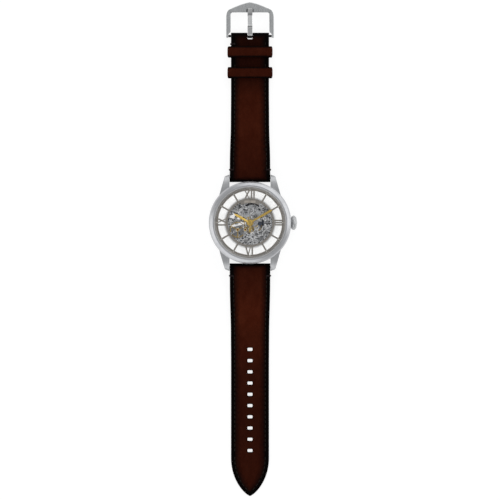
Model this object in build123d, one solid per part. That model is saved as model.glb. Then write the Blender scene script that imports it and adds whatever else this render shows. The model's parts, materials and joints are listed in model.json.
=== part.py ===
from build123d import *
import os
from math import acos, atan2, cos, degrees, hypot, radians, sin, sqrt

# Skeleton automatic wristwatch, 44 mm case on a 22 mm leather strap, lying flat on its back.
# Frame, in millimetres: the origin is the centre of the case back's outer face, +Z points out of the
# dial, +Y points to 12 o'clock (the buckle half of the strap) and +X to 3 o'clock (the crown).
# Each function builds one piece and the list at the end names the pieces.

# ---------------------------------------------------------------- driving dimensions
CASE_R = 22.0  # bezel, widest
BAND_R = 21.6  # case band
LUG_GAP = 22.0  # standard strap width between the lugs
BAR_Y, BAR_Z = 24.1, 3.4  # spring bar axis at the lugs
LUG_TIP_Y = 25.8
BAND_BOTTOM, BAND_TOP = 1.0, 8.6
BEZEL_TOP = 11.5
CAVITY_R = 18.2  # inside of the case
GLASS_R, GLASS_Z = 18.97, (9.97, 11.45)
STEM_Z = 4.6  # stem axis above the case back
CROWN_X = (21.95, 25.0, 25.25)  # the crown's inner face, the edge of its cap and its nose
STEM_END = 23.85

MOVEMENT_R = 12.8
ROTOR_Z = (1.35, 2.15)
AUTO_BRIDGE_Z = (2.5, 2.85)
WINDING_Z = (3.3, 3.6)  # ratchet and crown wheels
BRIDGE_Z = (3.65, 4.25)
PLATE_Z = (6.3, 7.3)
JEWEL_R, PIVOT_R, JEWEL_T = 0.45, 0.08, 0.3

DIAL_Z = (7.9, 8.3)
DIAL_OUTER, DIAL_INNER = (17.15, 18.12), (11.9, 12.9)

# train: teeth and modules
BARREL_TEETH, BARREL_M = 84, 0.13
CENTRE_PINION, CENTRE_TEETH, CENTRE_M = 12, 80, 0.08
THIRD_PINION, THIRD_TEETH = 10, 75
FOURTH_PINION, FOURTH_TEETH, FOURTH_M = 10, 72, 0.088
ESCAPE_PINION, ESCAPE_TEETH, ESCAPE_R = 8, 20, 2.2
TRAIN_A = CENTRE_M * (CENTRE_TEETH + THIRD_PINION) / 2
THIRD_M = 2 * TRAIN_A / (THIRD_TEETH + FOURTH_PINION)
PALLET_A = ESCAPE_R / cos(radians(30))
FORK_LENGTH, PIN_ORBIT = 3.1, 0.95
LEVER_A = FORK_LENGTH + PIN_ORBIT
BALANCE_R = 4.3

# motion and winding work
CANNON_TEETH, MINUTE_TEETH, MOTION_M = 12, 36, 0.1
MINUTE_PINION, HOUR_TEETH, HOUR_M = 10, 40, 0.096
SETTING_TEETH, SETTING_LOWER_TEETH = 24, 40
CROWN_TEETH, RATCHET_TEETH, WINDING_PINION, WINDING_M = 36, 46, 11, 0.2
ROTOR_TEETH, REVERSER_TEETH, REVERSER_PINION, REDUCTION_TEETH, AUTO_M = 34, 30, 10, 40, 0.12
REDUCTION_PINION = 8

# strap
STRAP_HALF, STRAP_TAPER_HALF = 10.8, 10.2
BUCKLE_BAR_Y, BUCKLE_BAR_Z = 100.1, 2.35
STRAP_END_Y, STRAP_TIP_Y = 101.9, -146.6
HOLE_COUNT, FIRST_HOLE_Y, HOLE_PITCH = 10, -67.9, 6.03
KEEPER_WIDTH, FIXED_KEEPER_Y, SLIDING_KEEPER_Y = 5.8, 91.5, 80.4


# ---------------------------------------------------------------- small helpers
def polar(radius, angle, origin=(0.0, 0.0)):
    return origin[0] + radius * cos(radians(angle)), origin[1] + radius * sin(radians(angle))


def toward(a, b, distance):
    """The point that lies distance from a on the way to b."""
    length = hypot(b[0] - a[0], b[1] - a[1])
    return a[0] + (b[0] - a[0]) * distance / length, a[1] + (b[1] - a[1]) * distance / length


def bearing(a, b):
    return degrees(atan2(b[1] - a[1], b[0] - a[0]))


def gap(a, b):
    return hypot(b[0] - a[0], b[1] - a[1])


def plate(sketch, z):
    return Pos(0, 0, z[0]) * extrude(sketch, amount=z[1] - z[0])


def disc(radius, z, at=(0.0, 0.0)):
    return plate(Pos(*at) * Circle(radius), z)


def ring(outer, inner, z, at=(0.0, 0.0)):
    return plate(Pos(*at) * (Circle(outer) - Circle(inner)), z)


def bar(a, b, width):
    """A flat bar with round ends at a and b."""
    middle = (a[0] + b[0]) / 2, (a[1] + b[1]) / 2
    return Pos(*middle) * Rot(0, 0, bearing(a, b)) * SlotCenterToCenter(gap(a, b), width)


def sector(outer, inner, start, end, origin=(0.0, 0.0)):
    """Part of a ring between two angles, with radial ends."""
    middle = (start + end) / 2
    corners = [polar(outer, a, origin) for a in (start, middle, end)]
    inside = [polar(inner, a, origin) for a in (end, middle, start)]
    edges = [
        ThreePointArc(*corners),
        Line(corners[2], inside[0]),
        ThreePointArc(*inside),
        Line(inside[2], corners[0]),
    ]
    return make_face(edges)


def gear_face(teeth, module, phase=0.0, at=(0.0, 0.0), thickness=0.4, addendum=1.1, dedendum=1.3):
    """A toothed outline. phase is the angle of one tooth's middle, in degrees."""
    pitch_r = teeth * module / 2
    root, tip = pitch_r - dedendum * module, pitch_r + addendum * module
    pitch = 360 / teeth
    at_root, at_tip = thickness * 0.66 * pitch, thickness * 0.30 * pitch
    points = []
    for tooth in range(teeth):
        middle = phase + tooth * pitch
        points += [polar(root, middle - at_root), polar(tip, middle - at_tip)]
        points += [polar(tip, middle + at_tip), polar(root, middle + at_root)]
    return Pos(*at) * make_face(Polyline(*points, close=True))


def mesh_phase(driver, driver_teeth, driver_phase, follower, follower_teeth):
    """The follower's phase that puts its gap on the driver's tooth, for centres driver and follower."""
    share = ((bearing(driver, follower) - driver_phase) * driver_teeth / 360) % 1
    return bearing(follower, driver) + (share + 0.5) * 360 / follower_teeth


def crossed_wheel(teeth, module, z, phase, at, hub, rim, spokes, spoke_width, turn=0.0):
    """A toothed wheel with windows between its spokes."""
    face = gear_face(teeth, module, phase)
    rim_r = teeth * module / 2 - rim
    windows = Circle(rim_r) - Circle(hub)
    for k in range(spokes):
        end = polar(rim_r + rim / 2, turn + k * 360 / spokes)
        windows -= bar((0, 0), end, spoke_width)
    return plate(Pos(*at) * (face - windows), z)


def arbor(at, steps):
    """Stacked cylinders on one axis: (radius, z range) each."""
    body = None
    for radius, z in steps:
        piece = disc(radius, z, at)
        body = piece if body is None else body + piece
    return body


def slotted_screw(at, head_z, tip_z, head_r=0.62, shank_r=0.34):
    """A cheese-head screw. The head lies between head_z[0], its slotted face, and head_z[1], its seat."""
    head = disc(head_r, (min(head_z), max(head_z)), at)
    shank = disc(shank_r, (min(head_z[1], tip_z), max(head_z[1], tip_z)), at)
    depth = 0.4 * abs(head_z[1] - head_z[0])
    face = head_z[0] + (depth if head_z[1] > head_z[0] else -depth) / 2
    slot = Pos(at[0], at[1], face) * Rot(0, 0, 35 * (at[0] + at[1])) * Box(3 * head_r, 0.16, depth)
    return head + shank - slot


def group(parts):
    return Compound(children=[solid for part in parts for solid in part.solids()])


def spiral(origin, start_r, pitch, turns, thickness, z):
    """A flat spiral ribbon of half-circle arcs, each pair of arcs a pitch wider than the last."""
    edges = []
    halves = int(2 * turns)
    sides = (thickness / 2, -thickness / 2)
    tracks = {side: [] for side in sides}
    for half in range(halves):
        sign = 1 if half % 2 == 0 else -1
        centre = origin[0] + sign * pitch / 4, origin[1]
        radius = start_r + half * pitch / 2
        for side in sides:
            r = radius + side
            first = centre[0] - sign * r, centre[1]
            top = centre[0], centre[1] + sign * r
            last = centre[0] + sign * r, centre[1]
            tracks[side].append((first, top, last))
    for side in sides:
        edges += [ThreePointArc(*arc) for arc in tracks[side]]
    outer, inner = tracks[sides[0]], tracks[sides[1]]
    edges += [Line(outer[0][0], inner[0][0]), Line(outer[-1][2], inner[-1][2])]
    return plate(make_face(edges), z)


# ---------------------------------------------------------------- where the axes stand
O = (0.0, 0.0)
BALANCE_REACH = 7.6  # from the movement's centre to the balance
BARREL = polar(BARREL_M * (BARREL_TEETH + CENTRE_PINION) / 2, 80)
THIRD = polar(TRAIN_A, -25)
BALANCE = polar(BALANCE_REACH, 210)
ESCAPE_A = FOURTH_M * (FOURTH_TEETH + ESCAPE_PINION) / 2
_reach = PALLET_A + LEVER_A
_turn = degrees(acos((ESCAPE_A**2 + BALANCE_REACH**2 - _reach**2) / (2 * ESCAPE_A * BALANCE_REACH)))
ESCAPE = polar(ESCAPE_A, 210 + _turn)
PALLET = toward(ESCAPE, BALANCE, PALLET_A)
MINUTE = polar(MOTION_M * (CANNON_TEETH + MINUTE_TEETH) / 2, -6)
SETTING = polar(MOTION_M * (MINUTE_TEETH + SETTING_TEETH) / 2, -7, MINUTE)
_wheels = WINDING_M * (CROWN_TEETH + RATCHET_TEETH) / 2
CROWN_WHEEL = (BARREL[0] + sqrt(_wheels**2 - BARREL[1] ** 2), 0.0)
CROWN_MESH_X = CROWN_WHEEL[0] + WINDING_M * CROWN_TEETH / 2
REVERSER = polar(AUTO_M * (ROTOR_TEETH + REVERSER_TEETH) / 2, 150)
REDUCTION = polar(AUTO_M * (REVERSER_PINION + REDUCTION_TEETH) / 2, 117, REVERSER)
CLICK = polar(6.0, 28, BARREL)
SETTING_LEVER, LEVER_PIN = (11.8, -2.4), (11.35, 0.0)
YOKE, YOKE_PIN = (9.16, 3.4), (9.16, 0.0)

BARREL_FEET = [(-10.0, 5.0), (9.8, 5.4), (10.3, -3.2)]
TRAIN_FEET = [(8.6, -7.2), (-0.6, -10.9)]
COCK_FOOT = (-4.9, -9.6)
AUTO_FEET = [(-8.6, 7.0), (7.6, -5.6), (-1.6, -8.6)]
_across = bearing(ESCAPE, BALANCE) + 90
PALLET_FEET = [polar(2.0, _across, PALLET), polar(2.0, _across - 150, PALLET)]
FOOT_R, SCREW_HOLE_R = 0.9, 0.36

# tooth phases, in degrees, chained so that every pair is in mesh
CENTRE_PHASE = 0.0
THIRD_PINION_PHASE = mesh_phase(O, CENTRE_TEETH, CENTRE_PHASE, THIRD, THIRD_PINION)
CENTRE_PINION_PHASE = 0.0
BARREL_PHASE = mesh_phase(O, CENTRE_PINION, CENTRE_PINION_PHASE, BARREL, BARREL_TEETH)
THIRD_PHASE = 0.0
FOURTH_PINION_PHASE = mesh_phase(THIRD, THIRD_TEETH, THIRD_PHASE, O, FOURTH_PINION)
FOURTH_PHASE = 0.0
ESCAPE_PINION_PHASE = mesh_phase(O, FOURTH_TEETH, FOURTH_PHASE, ESCAPE, ESCAPE_PINION)
CANNON_PHASE = 0.0
MINUTE_PHASE = mesh_phase(O, CANNON_TEETH, CANNON_PHASE, MINUTE, MINUTE_TEETH)
MINUTE_PINION_PHASE = 0.0
HOUR_PHASE = mesh_phase(MINUTE, MINUTE_PINION, MINUTE_PINION_PHASE, O, HOUR_TEETH)
SETTING_PHASE = mesh_phase(MINUTE, MINUTE_TEETH, MINUTE_PHASE, SETTING, SETTING_TEETH)
RATCHET_PHASE = mesh_phase(CROWN_WHEEL, CROWN_TEETH, 0.0, BARREL, RATCHET_TEETH)
REVERSER_PHASE = mesh_phase(O, ROTOR_TEETH, 0.0, REVERSER, REVERSER_TEETH)
REDUCTION_PHASE = mesh_phase(REVERSER, REVERSER_PINION, 0.0, REDUCTION, REDUCTION_TEETH)


# ---------------------------------------------------------------- case
def lug(side_x, side_y):
    """One lug: a tapered plan cut by a side profile that curves down to the tip."""
    inner = LUG_GAP / 2
    points = [(inner, 13), (16.9, 13), (16.2, 15.4), (13.6, 24.6), (13.1, 25.1), (inner, LUG_TIP_Y)]
    body = Pos(0, 0, -1) * extrude(make_face(Polyline(*points, close=True)), amount=12)
    top = Spline((13, 8.55), (19.5, 7.5), (LUG_TIP_Y - 0.5, 4.6), tangents=[(1, -0.05), (0.75, -1)])
    tip = ThreePointArc((LUG_TIP_Y - 0.5, 4.6), (LUG_TIP_Y, 3.4), (LUG_TIP_Y - 0.6, 2.0))
    bottom = Spline((LUG_TIP_Y - 0.6, 2.0), (20.5, BAND_BOTTOM), tangents=[(-0.8, -0.6), (-1, 0)])
    foot = Polyline((20.5, BAND_BOTTOM), (13, BAND_BOTTOM), (13, 8.55))
    profile = make_face([top, tip, bottom, foot])
    side = Plane.YZ * profile
    body = body & (Pos(8, 0, 0) * extrude(side, amount=12))
    hole = Pos(inner, BAR_Y, BAR_Z) * Rot(0, 90, 0) * Cylinder(0.45, 2.6)
    body -= hole
    if side_x < 0:
        body = mirror(body, about=Plane.YZ)
    if side_y < 0:
        body = mirror(body, about=Plane.XZ)
    return body


def mid_case():
    """The case band with its four lugs, open for the movement, the back and the crown tube."""
    flank = ThreePointArc((20.9, BAND_BOTTOM), (BAND_R, 4.9), (21.3, BAND_TOP))
    outline = [
        flank,
        Line((21.3, BAND_TOP), (CAVITY_R, BAND_TOP)),
        Line((CAVITY_R, BAND_TOP), (CAVITY_R, BAND_BOTTOM)),
        Line((CAVITY_R, BAND_BOTTOM), (20.9, BAND_BOTTOM)),
    ]
    band = revolve(Plane.XZ * make_face(outline), Axis.Z)
    body = band
    for side_x in (1, -1):
        for side_y in (1, -1):
            body += lug(side_x, side_y)
    body -= disc(CAVITY_R, (0, 12))
    body -= ring(19.55, 18.85, (BAND_BOTTOM - 0.1, 1.65))  # groove for the back's seal
    body -= Pos(20, 0, STEM_Z) * Rot(0, 90, 0) * Cylinder(1.3, 6)
    return body


def bezel():
    """The sloped ring that holds the crystal."""
    points = [(19.17, BAND_TOP), (21.7, BAND_TOP), (CASE_R, 8.9), (CASE_R, 9.5), (21.3, 10.35)]
    points += [(19.9, BEZEL_TOP - 0.02), (19.6, BEZEL_TOP), (19.3, BEZEL_TOP), (19.2, BEZEL_TOP - 0.1)]
    points += [(19.2, GLASS_Z[0]), (19.17, GLASS_Z[0])]
    return revolve(Plane.XZ * make_face(Polyline(*points, close=True)), Axis.Z)


def crystal():
    """The flat front glass with a bevelled rim."""
    low, high = GLASS_Z
    points = [(0, low), (GLASS_R, low), (GLASS_R, high - 0.3), (GLASS_R - 0.3, high), (0, high)]
    return revolve(Plane.XZ * make_face(Polyline(*points, close=True)), Axis.Z)


def crystal_gasket():
    return ring(19.19, GLASS_R + 0.01, (GLASS_Z[0], GLASS_Z[1] - 0.3))


def rehaut_ring():
    """The sloped flange between the dial and the crystal."""
    points = [(18.0, DIAL_Z[1]), (18.12, DIAL_Z[1]), (18.12, BAND_TOP + 0.02), (19.15, BAND_TOP + 0.02)]
    points += [(19.15, 9.95), (19.0, 9.95), (18.0, DIAL_Z[1] + 0.12)]
    return revolve(Plane.XZ * make_face(Polyline(*points, close=True)), Axis.Z)


def case_back():
    """The steel ring of the exhibition back, with six notches for the case wrench."""
    points = [(17.62, 0), (19.9, 0), (20.5, 0.5), (20.5, BAND_BOTTOM), (18.15, BAND_BOTTOM)]
    points += [(18.15, 2.2), (17.2, 2.2), (17.2, 1.05), (17.62, 1.05)]
    body = revolve(Plane.XZ * make_face(Polyline(*points, close=True)), Axis.Z)
    for k in range(6):
        body -= Rot(0, 0, 30 + 60 * k) * Pos(19.6, 0, 0) * Box(1.6, 1.8, 0.7)
    return body


def back_crystal():
    return disc(17.6, (0, 1.03))


def back_gasket():
    return Pos(0, 0, 1.32) * Torus(19.2, 0.31)


def crown_tube():
    """The pipe pressed into the band that the crown slides over."""
    tube = Pos(21.9, 0, STEM_Z) * Rot(0, 90, 0) * Cylinder(1.28, 3.4)
    return tube - Pos(21.9, 0, STEM_Z) * Rot(0, 90, 0) * Cylinder(0.56, 4)


def crown():
    """The fluted, rounded crown, hollow around its tube."""
    x0, x1, nose = CROWN_X
    shoulder_r, belly_r, rim_r, cap_r = 2.8, 3.85, 3.1, 1.6
    side = Spline((x0, shoulder_r), (x0 + 0.8, 3.75), (x0 + 1.75, belly_r), (x0 + 2.6, rim_r), (x1, cap_r),
                  tangents=[(0.3, 1), (0.2, -1)])
    outline = [
        Line((x0, 0), (x0, shoulder_r)),
        side,
        Spline((x1, cap_r), (nose, 0), tangents=[(0.1, -1), (0, -1)]),
        Line((nose, 0), (x0, 0)),
    ]
    body = Pos(0, 0, STEM_Z) * revolve(make_face(outline), Axis.X)
    flutes, flute_r = 28, 0.3
    for k in range(flutes):
        flute = Pos(x0 + 1.2, 0, belly_r + 0.17) * Rot(0, 90, 0) * Cylinder(flute_r, 2.9)
        body -= Pos(0, 0, STEM_Z) * Rot(360 * k / flutes, 0, 0) * flute
    depth = STEM_END - x0
    return body - Pos(x0 + depth / 2, 0, STEM_Z) * Rot(0, 90, 0) * Cylinder(1.75, depth)


def stem():
    """The winding stem: pilot, square for the clutch, groove for its lever and shank for the crown."""
    def rod(radius, x0, x1):
        return Pos((x0 + x1) / 2, 0, STEM_Z) * Rot(0, 90, 0) * Cylinder(radius, x1 - x0)

    body = rod(0.24, 6.3, 7.5) + Pos(8.7, 0, STEM_Z) * Box(2.6, 0.62, 0.62)
    body += rod(0.38, 9.9, 11.17) + rod(0.28, 11.17, 11.53) + rod(0.5, 11.53, STEM_END)
    return body


# ---------------------------------------------------------------- dial, hands and holder
def numeral_bars():
    """Roman numerals XII, III, VI and IX as bars between the two dial rings."""
    low, high = DIAL_INNER[1] - 0.3, DIAL_OUTER[0] + 0.2
    stroke, thin = 0.8, 0.52

    def bar_at(x0, x1, width, turn, flip=1):
        return Rot(0, 0, turn) * bar((x0, flip * low), (x1, flip * high), width)

    def serif(x, width, y, turn):
        return Rot(0, 0, turn) * Pos(x, y) * Rectangle(width, 0.3)

    twelve = bar_at(-2.75, -0.35, stroke, 0) + bar_at(-0.35, -2.75, thin, 0)
    twelve += bar_at(0.85, 0.85, stroke, 0) + bar_at(2.15, 2.15, stroke, 0)
    three = bar_at(-1.15, -1.15, stroke, -90) + bar_at(0, 0, stroke, -90) + bar_at(1.15, 1.15, stroke, -90)
    nine = bar_at(-1.2, -1.2, stroke, 90) + bar_at(0.0, 2.2, stroke, 90) + bar_at(2.2, 0.0, thin, 90)
    six = bar_at(-2.3, -0.95, stroke, 0, -1) + bar_at(0.35, -0.95, thin, 0, -1)
    six += bar_at(1.2, 1.2, stroke, 0, -1)
    bars = twelve + three + nine + six
    for x, width, turn in ((1.5, 2.6, 0), (-2.7, 1.1, 0), (-0.35, 1.0, 0), (0, 3.3, -90), (1.1, 2.9, 90)):
        bars += serif(x, width, high - 0.25, turn)
    return bars + serif(-1.2, 1.2, high - 0.25, 90)


def dial():
    """The openworked dial: two rings joined by eight spokes and four Roman numerals."""
    face = Circle(DIAL_OUTER[1]) - Circle(DIAL_OUTER[0])
    face += Circle(DIAL_INNER[1]) - Circle(DIAL_INNER[0])
    for hour in range(12):
        if hour % 3:
            angle = 90 - 30 * hour
            face += bar(polar(DIAL_INNER[1] - 0.2, angle), polar(DIAL_OUTER[0] + 0.3, angle), 0.85)
    face += numeral_bars()
    face += sector(DIAL_INNER[0] + 0.2, 10.5, 64, 116)  # blank name plate below XII
    return plate(face, DIAL_Z)


def hour_markers():
    dots = [disc(0.3, (DIAL_Z[1], DIAL_Z[1] + 0.2), polar(17.57, 30 * hour)) for hour in range(12)]
    return group(dots)


def movement_holder():
    """The clear ring that centres the movement in the case."""
    body = ring(18.12, 17.35, (2.25, DIAL_Z[0]))
    body += ring(17.5, 13.0, (5.2, 5.8))
    body += ring(14.1, MOVEMENT_R + 0.03, (4.0, 7.5))
    return body - Pos(15.4, 0, STEM_Z) * Rot(0, 90, 0) * Cylinder(0.9, 6.6)


def hand(length, width, z, hub_r, bore_r, angle, tail=0.0):
    """A faceted baton hand with a pointed end, pierced by its boss."""
    neck, tip = hub_r * 0.7, 0.22
    points = [(0, -neck * 0.8), (length * 0.28, -width * 0.36), (length * 0.62, -width / 2)]
    points += [(length - width * 0.9, -width * 0.42), (length, -tip / 2), (length, tip / 2)]
    points += [(length - width * 0.9, width * 0.42), (length * 0.62, width / 2)]
    points += [(length * 0.28, width * 0.36), (0, neck * 0.8)]
    blade = make_face(Polyline(*points, close=True)) + Circle(hub_r)
    if tail:
        blade += bar((0, 0), (-tail, 0), width * 0.8) + Pos(-tail, 0) * Circle(width)
    blade = Rot(0, 0, angle) * (blade - Circle(bore_r))
    return plate(blade, z)


def hour_hand():
    return hand(9.7, 1.25, (8.72, 8.92), 1.35, 0.96, 90 + 61)


def minute_hand():
    return hand(13.8, 1.2, (9.1, 9.28), 0.95, 0.52, 90 - 60)


def seconds_hand():
    """A thin hand whose wide counterweight reaches past the centre."""
    blade = bar((0, 0), (14.6, 0), 0.16) + bar((0, 0), (-4.2, 0), 0.7)
    blade += Pos(-4.3, 0) * Circle(0.62) - Pos(-4.3, 0) * Circle(0.26)
    blade += Circle(0.72)
    boss = disc(0.3, (9.34, 9.7)) - disc(0.1, (9.3, 9.45))
    return plate(Rot(0, 0, 90) * (blade - Circle(0.2)), (9.45, 9.57)) + boss


# ---------------------------------------------------------------- movement plates and bridges
def main_plate():
    """The pierced main plate with its outer wall and the two stem bearings."""
    face = Circle(MOVEMENT_R)
    inside = Circle(11.7)
    face -= (Pos(*BALANCE) * Circle(4.75)) & inside
    for start in (0, 120, 240):
        face -= sector(4.7, 2.0, start + 42, start + 138, BARREL)
    face -= sector(11.5, 8.4, 146, 170)
    face -= sector(11.5, 9.2, 118, 140)
    face -= sector(7.2, 4.4, 152, 176)
    face -= Pos(-3.1, 0.4) * Circle(1.15)
    face -= Pos(8.05, 0) * RectangleRounded(3.7, 2.7, 0.4)
    face -= Pos(10.45, 0) * RectangleRounded(0.95, 2.6, 0.3)
    face -= bar(LEVER_PIN, (12.25, 0), 0.5)
    face -= (Pos(*ESCAPE) * Circle(2.35)) - Pos(*ESCAPE) * Circle(1.0)
    face -= sector(3.4, 2.35, -62, 22, THIRD)
    for start, end in ((-28, -44), (-48, -66), (-94, -112)):
        face -= sector(11.4, 9.2, end, start)
    face -= Pos(3.3, -6.3) * Circle(0.95)
    face -= Pos(6.0, -4.9) * Circle(0.6)
    face -= sector(11.5, 9.4, 24, 44)
    hub_arms = bar(O, ESCAPE, 1.2) + bar(ESCAPE, PALLET, 1.1) + bar(PALLET, polar(12.0, 252), 1.1)
    hub_arms += bar(BALANCE, polar(12.0, 210), 1.3) + Pos(*BALANCE) * Circle(1.1)
    hub_arms += Pos(*ESCAPE) * Circle(0.95) + Pos(*PALLET) * Circle(0.9)
    face += hub_arms
    for foot in (*BARREL_FEET, *TRAIN_FEET, COCK_FOOT):
        face += Pos(*foot) * Circle(1.1)
    for foot in PALLET_FEET:
        face += Pos(*foot) * Circle(0.75)
    face += bar(PALLET_FEET[0], PALLET_FEET[1], 1.0)
    face -= Circle(0.62)
    face -= Pos(*SETTING) * Circle(0.3)
    for at in (THIRD, ESCAPE, PALLET, BALANCE):
        face -= Pos(*at) * Circle(PIVOT_R + 0.04)
    for foot in (*BARREL_FEET, *TRAIN_FEET, COCK_FOOT):
        face -= Pos(*foot) * Circle(SCREW_HOLE_R)
    for at in PALLET_FEET:
        face -= Pos(*at) * Circle(0.2)
    face -= Pos(*BARREL) * Circle(0.5)
    body = plate(face, PLATE_Z)
    body += ring(MOVEMENT_R, 12.25, (BRIDGE_Z[1], PLATE_Z[0]))
    body += Pos(11.85, 0, 5.1) * Box(1.3, 2.6, 2.4)
    for at in ((THIRD), (ESCAPE), (PALLET), (BALANCE)):
        body -= disc(JEWEL_R, (PLATE_Z[1] - JEWEL_T, PLATE_Z[1]), at)
    body -= Pos(11.9, 0, STEM_Z) * Rot(0, 90, 0) * Cylinder(0.52, 3)
    body -= Pos(11.8, 0, 5.7) * Box(1.4, 0.9, 1.3)
    return body


def barrel_bridge():
    """Holds the barrel and the winding wheels, and carries the stem's inner bearing."""
    outline = [(-12.8, -1.2), (-10.2, -1.2), (-6.4, -0.9), (-5.9, 0.2), (-3.1, 0.6), (-2.6, 2.1), (1.5, 2.1)]
    outline += [(4.3, 0.4), (4.9, -0.5), (4.9, -3.3)]
    outline += [(8.6, -3.3), (9.2, -4.3), (12.8, -4.3), (12.8, 12.8), (-12.8, 12.8)]
    face = Circle(12.2) & make_face(Polyline(*outline, close=True))
    face -= Pos(*BARREL) * Circle(0.92)
    face -= sector(11.2, 8.8, 150, 166)
    face -= sector(7.4, 5.8, 153, 164)
    body = plate(face, BRIDGE_Z)
    for foot in BARREL_FEET:
        body += disc(FOOT_R, (BRIDGE_Z[1], PLATE_Z[0]), foot)
    body += Pos(6.9, 0, 4.65) * Box(0.9, 0.9, 0.85)
    body -= Pos(6.9, 0, STEM_Z) * Rot(0, 90, 0) * Cylinder(0.26, 1.2)
    body -= Pos(9.15, 0, 4.4) * Box(3.5, 2.6, 2.4)  # room for the clutch and the winding pinion
    body -= Pos(11.7, 0, 4.4) * Box(2.0, 2.7, 2.4)
    for foot in BARREL_FEET:
        body -= disc(SCREW_HOLE_R, (BRIDGE_Z[0], PLATE_Z[0]), foot)
    body -= disc(0.3, BRIDGE_Z, CROWN_WHEEL) + disc(0.2, BRIDGE_Z, CLICK)
    body -= disc(PIVOT_R + 0.02, BRIDGE_Z, REDUCTION) + disc(PIVOT_R + 0.02, BRIDGE_Z, REVERSER)
    return body


def train_bridge():
    """Holds the upper pivots of the fourth, third and escape wheels."""
    outline = [(-1.9, 1.8), (1.4, 1.8), (4.05, 0.2), (4.6, -0.6), (4.6, -3.6), (8.4, -3.6), (9.0, -4.6)]
    outline += [(12.8, -4.6), (12.8, -12.8), (-2.6, -12.8), (-2.4, -8.0), (-1.3, -5.0), (-1.9, -2.5)]
    face = Circle(12.2) & make_face(Polyline(*outline, close=True))
    face -= sector(10.9, 5.6, -62, -44)
    face -= sector(8.0, 5.2, -88, -68)
    body = plate(face, BRIDGE_Z)
    for foot in TRAIN_FEET:
        body += disc(FOOT_R, (BRIDGE_Z[1], PLATE_Z[0]), foot)
    for foot in TRAIN_FEET:
        body -= disc(SCREW_HOLE_R, (BRIDGE_Z[0], PLATE_Z[0]), foot)
    for at in (O, THIRD, ESCAPE):
        body -= disc(PIVOT_R + 0.04, BRIDGE_Z, at)
        body -= disc(JEWEL_R, (BRIDGE_Z[0], BRIDGE_Z[0] + JEWEL_T), at)
    return body


def balance_cock():
    """The arm over the balance, screwed down on one foot, with the shock jewel's seat."""
    face = bar(BALANCE, COCK_FOOT, 1.9) + Pos(*BALANCE) * Circle(1.5) + Pos(*COCK_FOOT) * Circle(1.45)
    body = plate(face, (BRIDGE_Z[0], 4.1)) + disc(1.25, (4.0, PLATE_Z[0]), COCK_FOOT)
    body -= disc(SCREW_HOLE_R, (BRIDGE_Z[0], PLATE_Z[0]), COCK_FOOT)
    body -= disc(PIVOT_R + 0.04, (BRIDGE_Z[0], 4.1), BALANCE)
    return body - disc(JEWEL_R, (BRIDGE_Z[0], BRIDGE_Z[0] + JEWEL_T), BALANCE)


def regulator():
    """The index lever and stud carrier clipped round the shock setting, and the hairspring's stud."""
    lever_end, stud_at = polar(3.1, -20, BALANCE), polar(3.0, 25, BALANCE)
    face = bar(BALANCE, lever_end, 0.5) + bar(BALANCE, stud_at, 0.6) + Pos(*BALANCE) * Circle(1.25)
    face -= Pos(*BALANCE) * Circle(0.62)
    body = plate(face, (3.45, BRIDGE_Z[0])) - disc(0.2, (3, 4), stud_at)
    return body + disc(0.22, (3.45, 4.34), stud_at)


def pallet_bridge():
    """The small bridge over the pallet fork."""
    face = bar(PALLET_FEET[0], PALLET_FEET[1], 1.0) - Pos(*PALLET) * Circle(PIVOT_R + 0.02)
    body = plate(face, (4.95, 5.15))
    for foot in PALLET_FEET:
        body += disc(0.48, (5.0, PLATE_Z[0]), foot)
    return body - group([disc(0.2, (4.9, PLATE_Z[0]), foot) for foot in PALLET_FEET])


def automatic_bridge():
    """The three-legged bridge that carries the rotor's bearing."""
    face = Circle(2.3) + Pos(*REVERSER) * Circle(1.1) + Pos(*REDUCTION) * Circle(1.0)
    face += bar(O, REVERSER, 1.6) + bar(REVERSER, REDUCTION, 1.5) + bar(REDUCTION, AUTO_FEET[0], 1.5)
    face += bar(O, AUTO_FEET[1], 1.7) + bar(O, AUTO_FEET[2], 1.7)
    for foot in AUTO_FEET:
        face += Pos(*foot) * Circle(1.05)
    face -= Circle(0.5)
    body = plate(face, AUTO_BRIDGE_Z)
    for foot in AUTO_FEET:
        body += disc(0.75, (AUTO_BRIDGE_Z[1], BRIDGE_Z[0]), foot)
    for foot in AUTO_FEET:
        body -= disc(SCREW_HOLE_R, (AUTO_BRIDGE_Z[0], BRIDGE_Z[0]), foot)
    body -= disc(0.2, AUTO_BRIDGE_Z, REVERSER) + disc(PIVOT_R + 0.02, AUTO_BRIDGE_Z, REDUCTION)
    return body


def jewels():
    """Pressed ruby bearings, each a ring round its pivot."""
    plate_z = (PLATE_Z[1] - JEWEL_T, PLATE_Z[1])
    bridge_z = (BRIDGE_Z[0], BRIDGE_Z[0] + JEWEL_T)
    rings = [ring(JEWEL_R, PIVOT_R + 0.03, plate_z, at) for at in (THIRD, ESCAPE, PALLET, BALANCE)]
    rings += [ring(JEWEL_R, PIVOT_R + 0.03, bridge_z, at) for at in (O, THIRD, ESCAPE, BALANCE)]
    return group(rings)


def movement_screws():
    """The bridges' screws, heads on the back, and the shouldered screws and post of the keyless work."""
    feet = [*BARREL_FEET, *TRAIN_FEET, COCK_FOOT]
    screws = [slotted_screw(at, (3.32, BRIDGE_Z[0]), 6.9) for at in feet]
    screws += [slotted_screw(at, (2.24, AUTO_BRIDGE_Z[0]), BRIDGE_Z[0] - 0.02) for at in AUTO_FEET]
    screws.append(slotted_screw(CROWN_WHEEL, (3.05, 3.27), 4.2, 0.9, 0.29))
    screws += [slotted_screw(at, (7.88, 7.63), 7.3, 0.52, 0.28) for at in (SETTING_LEVER, YOKE)]
    screws.append(disc(0.14, (7.3, 8.05), MINUTE))
    return group(screws)


# ---------------------------------------------------------------- power
DRUM_R, DRUM_Z, RIM_Z = 5.15, (4.95, 5.88), (5.5, 5.85)


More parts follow.
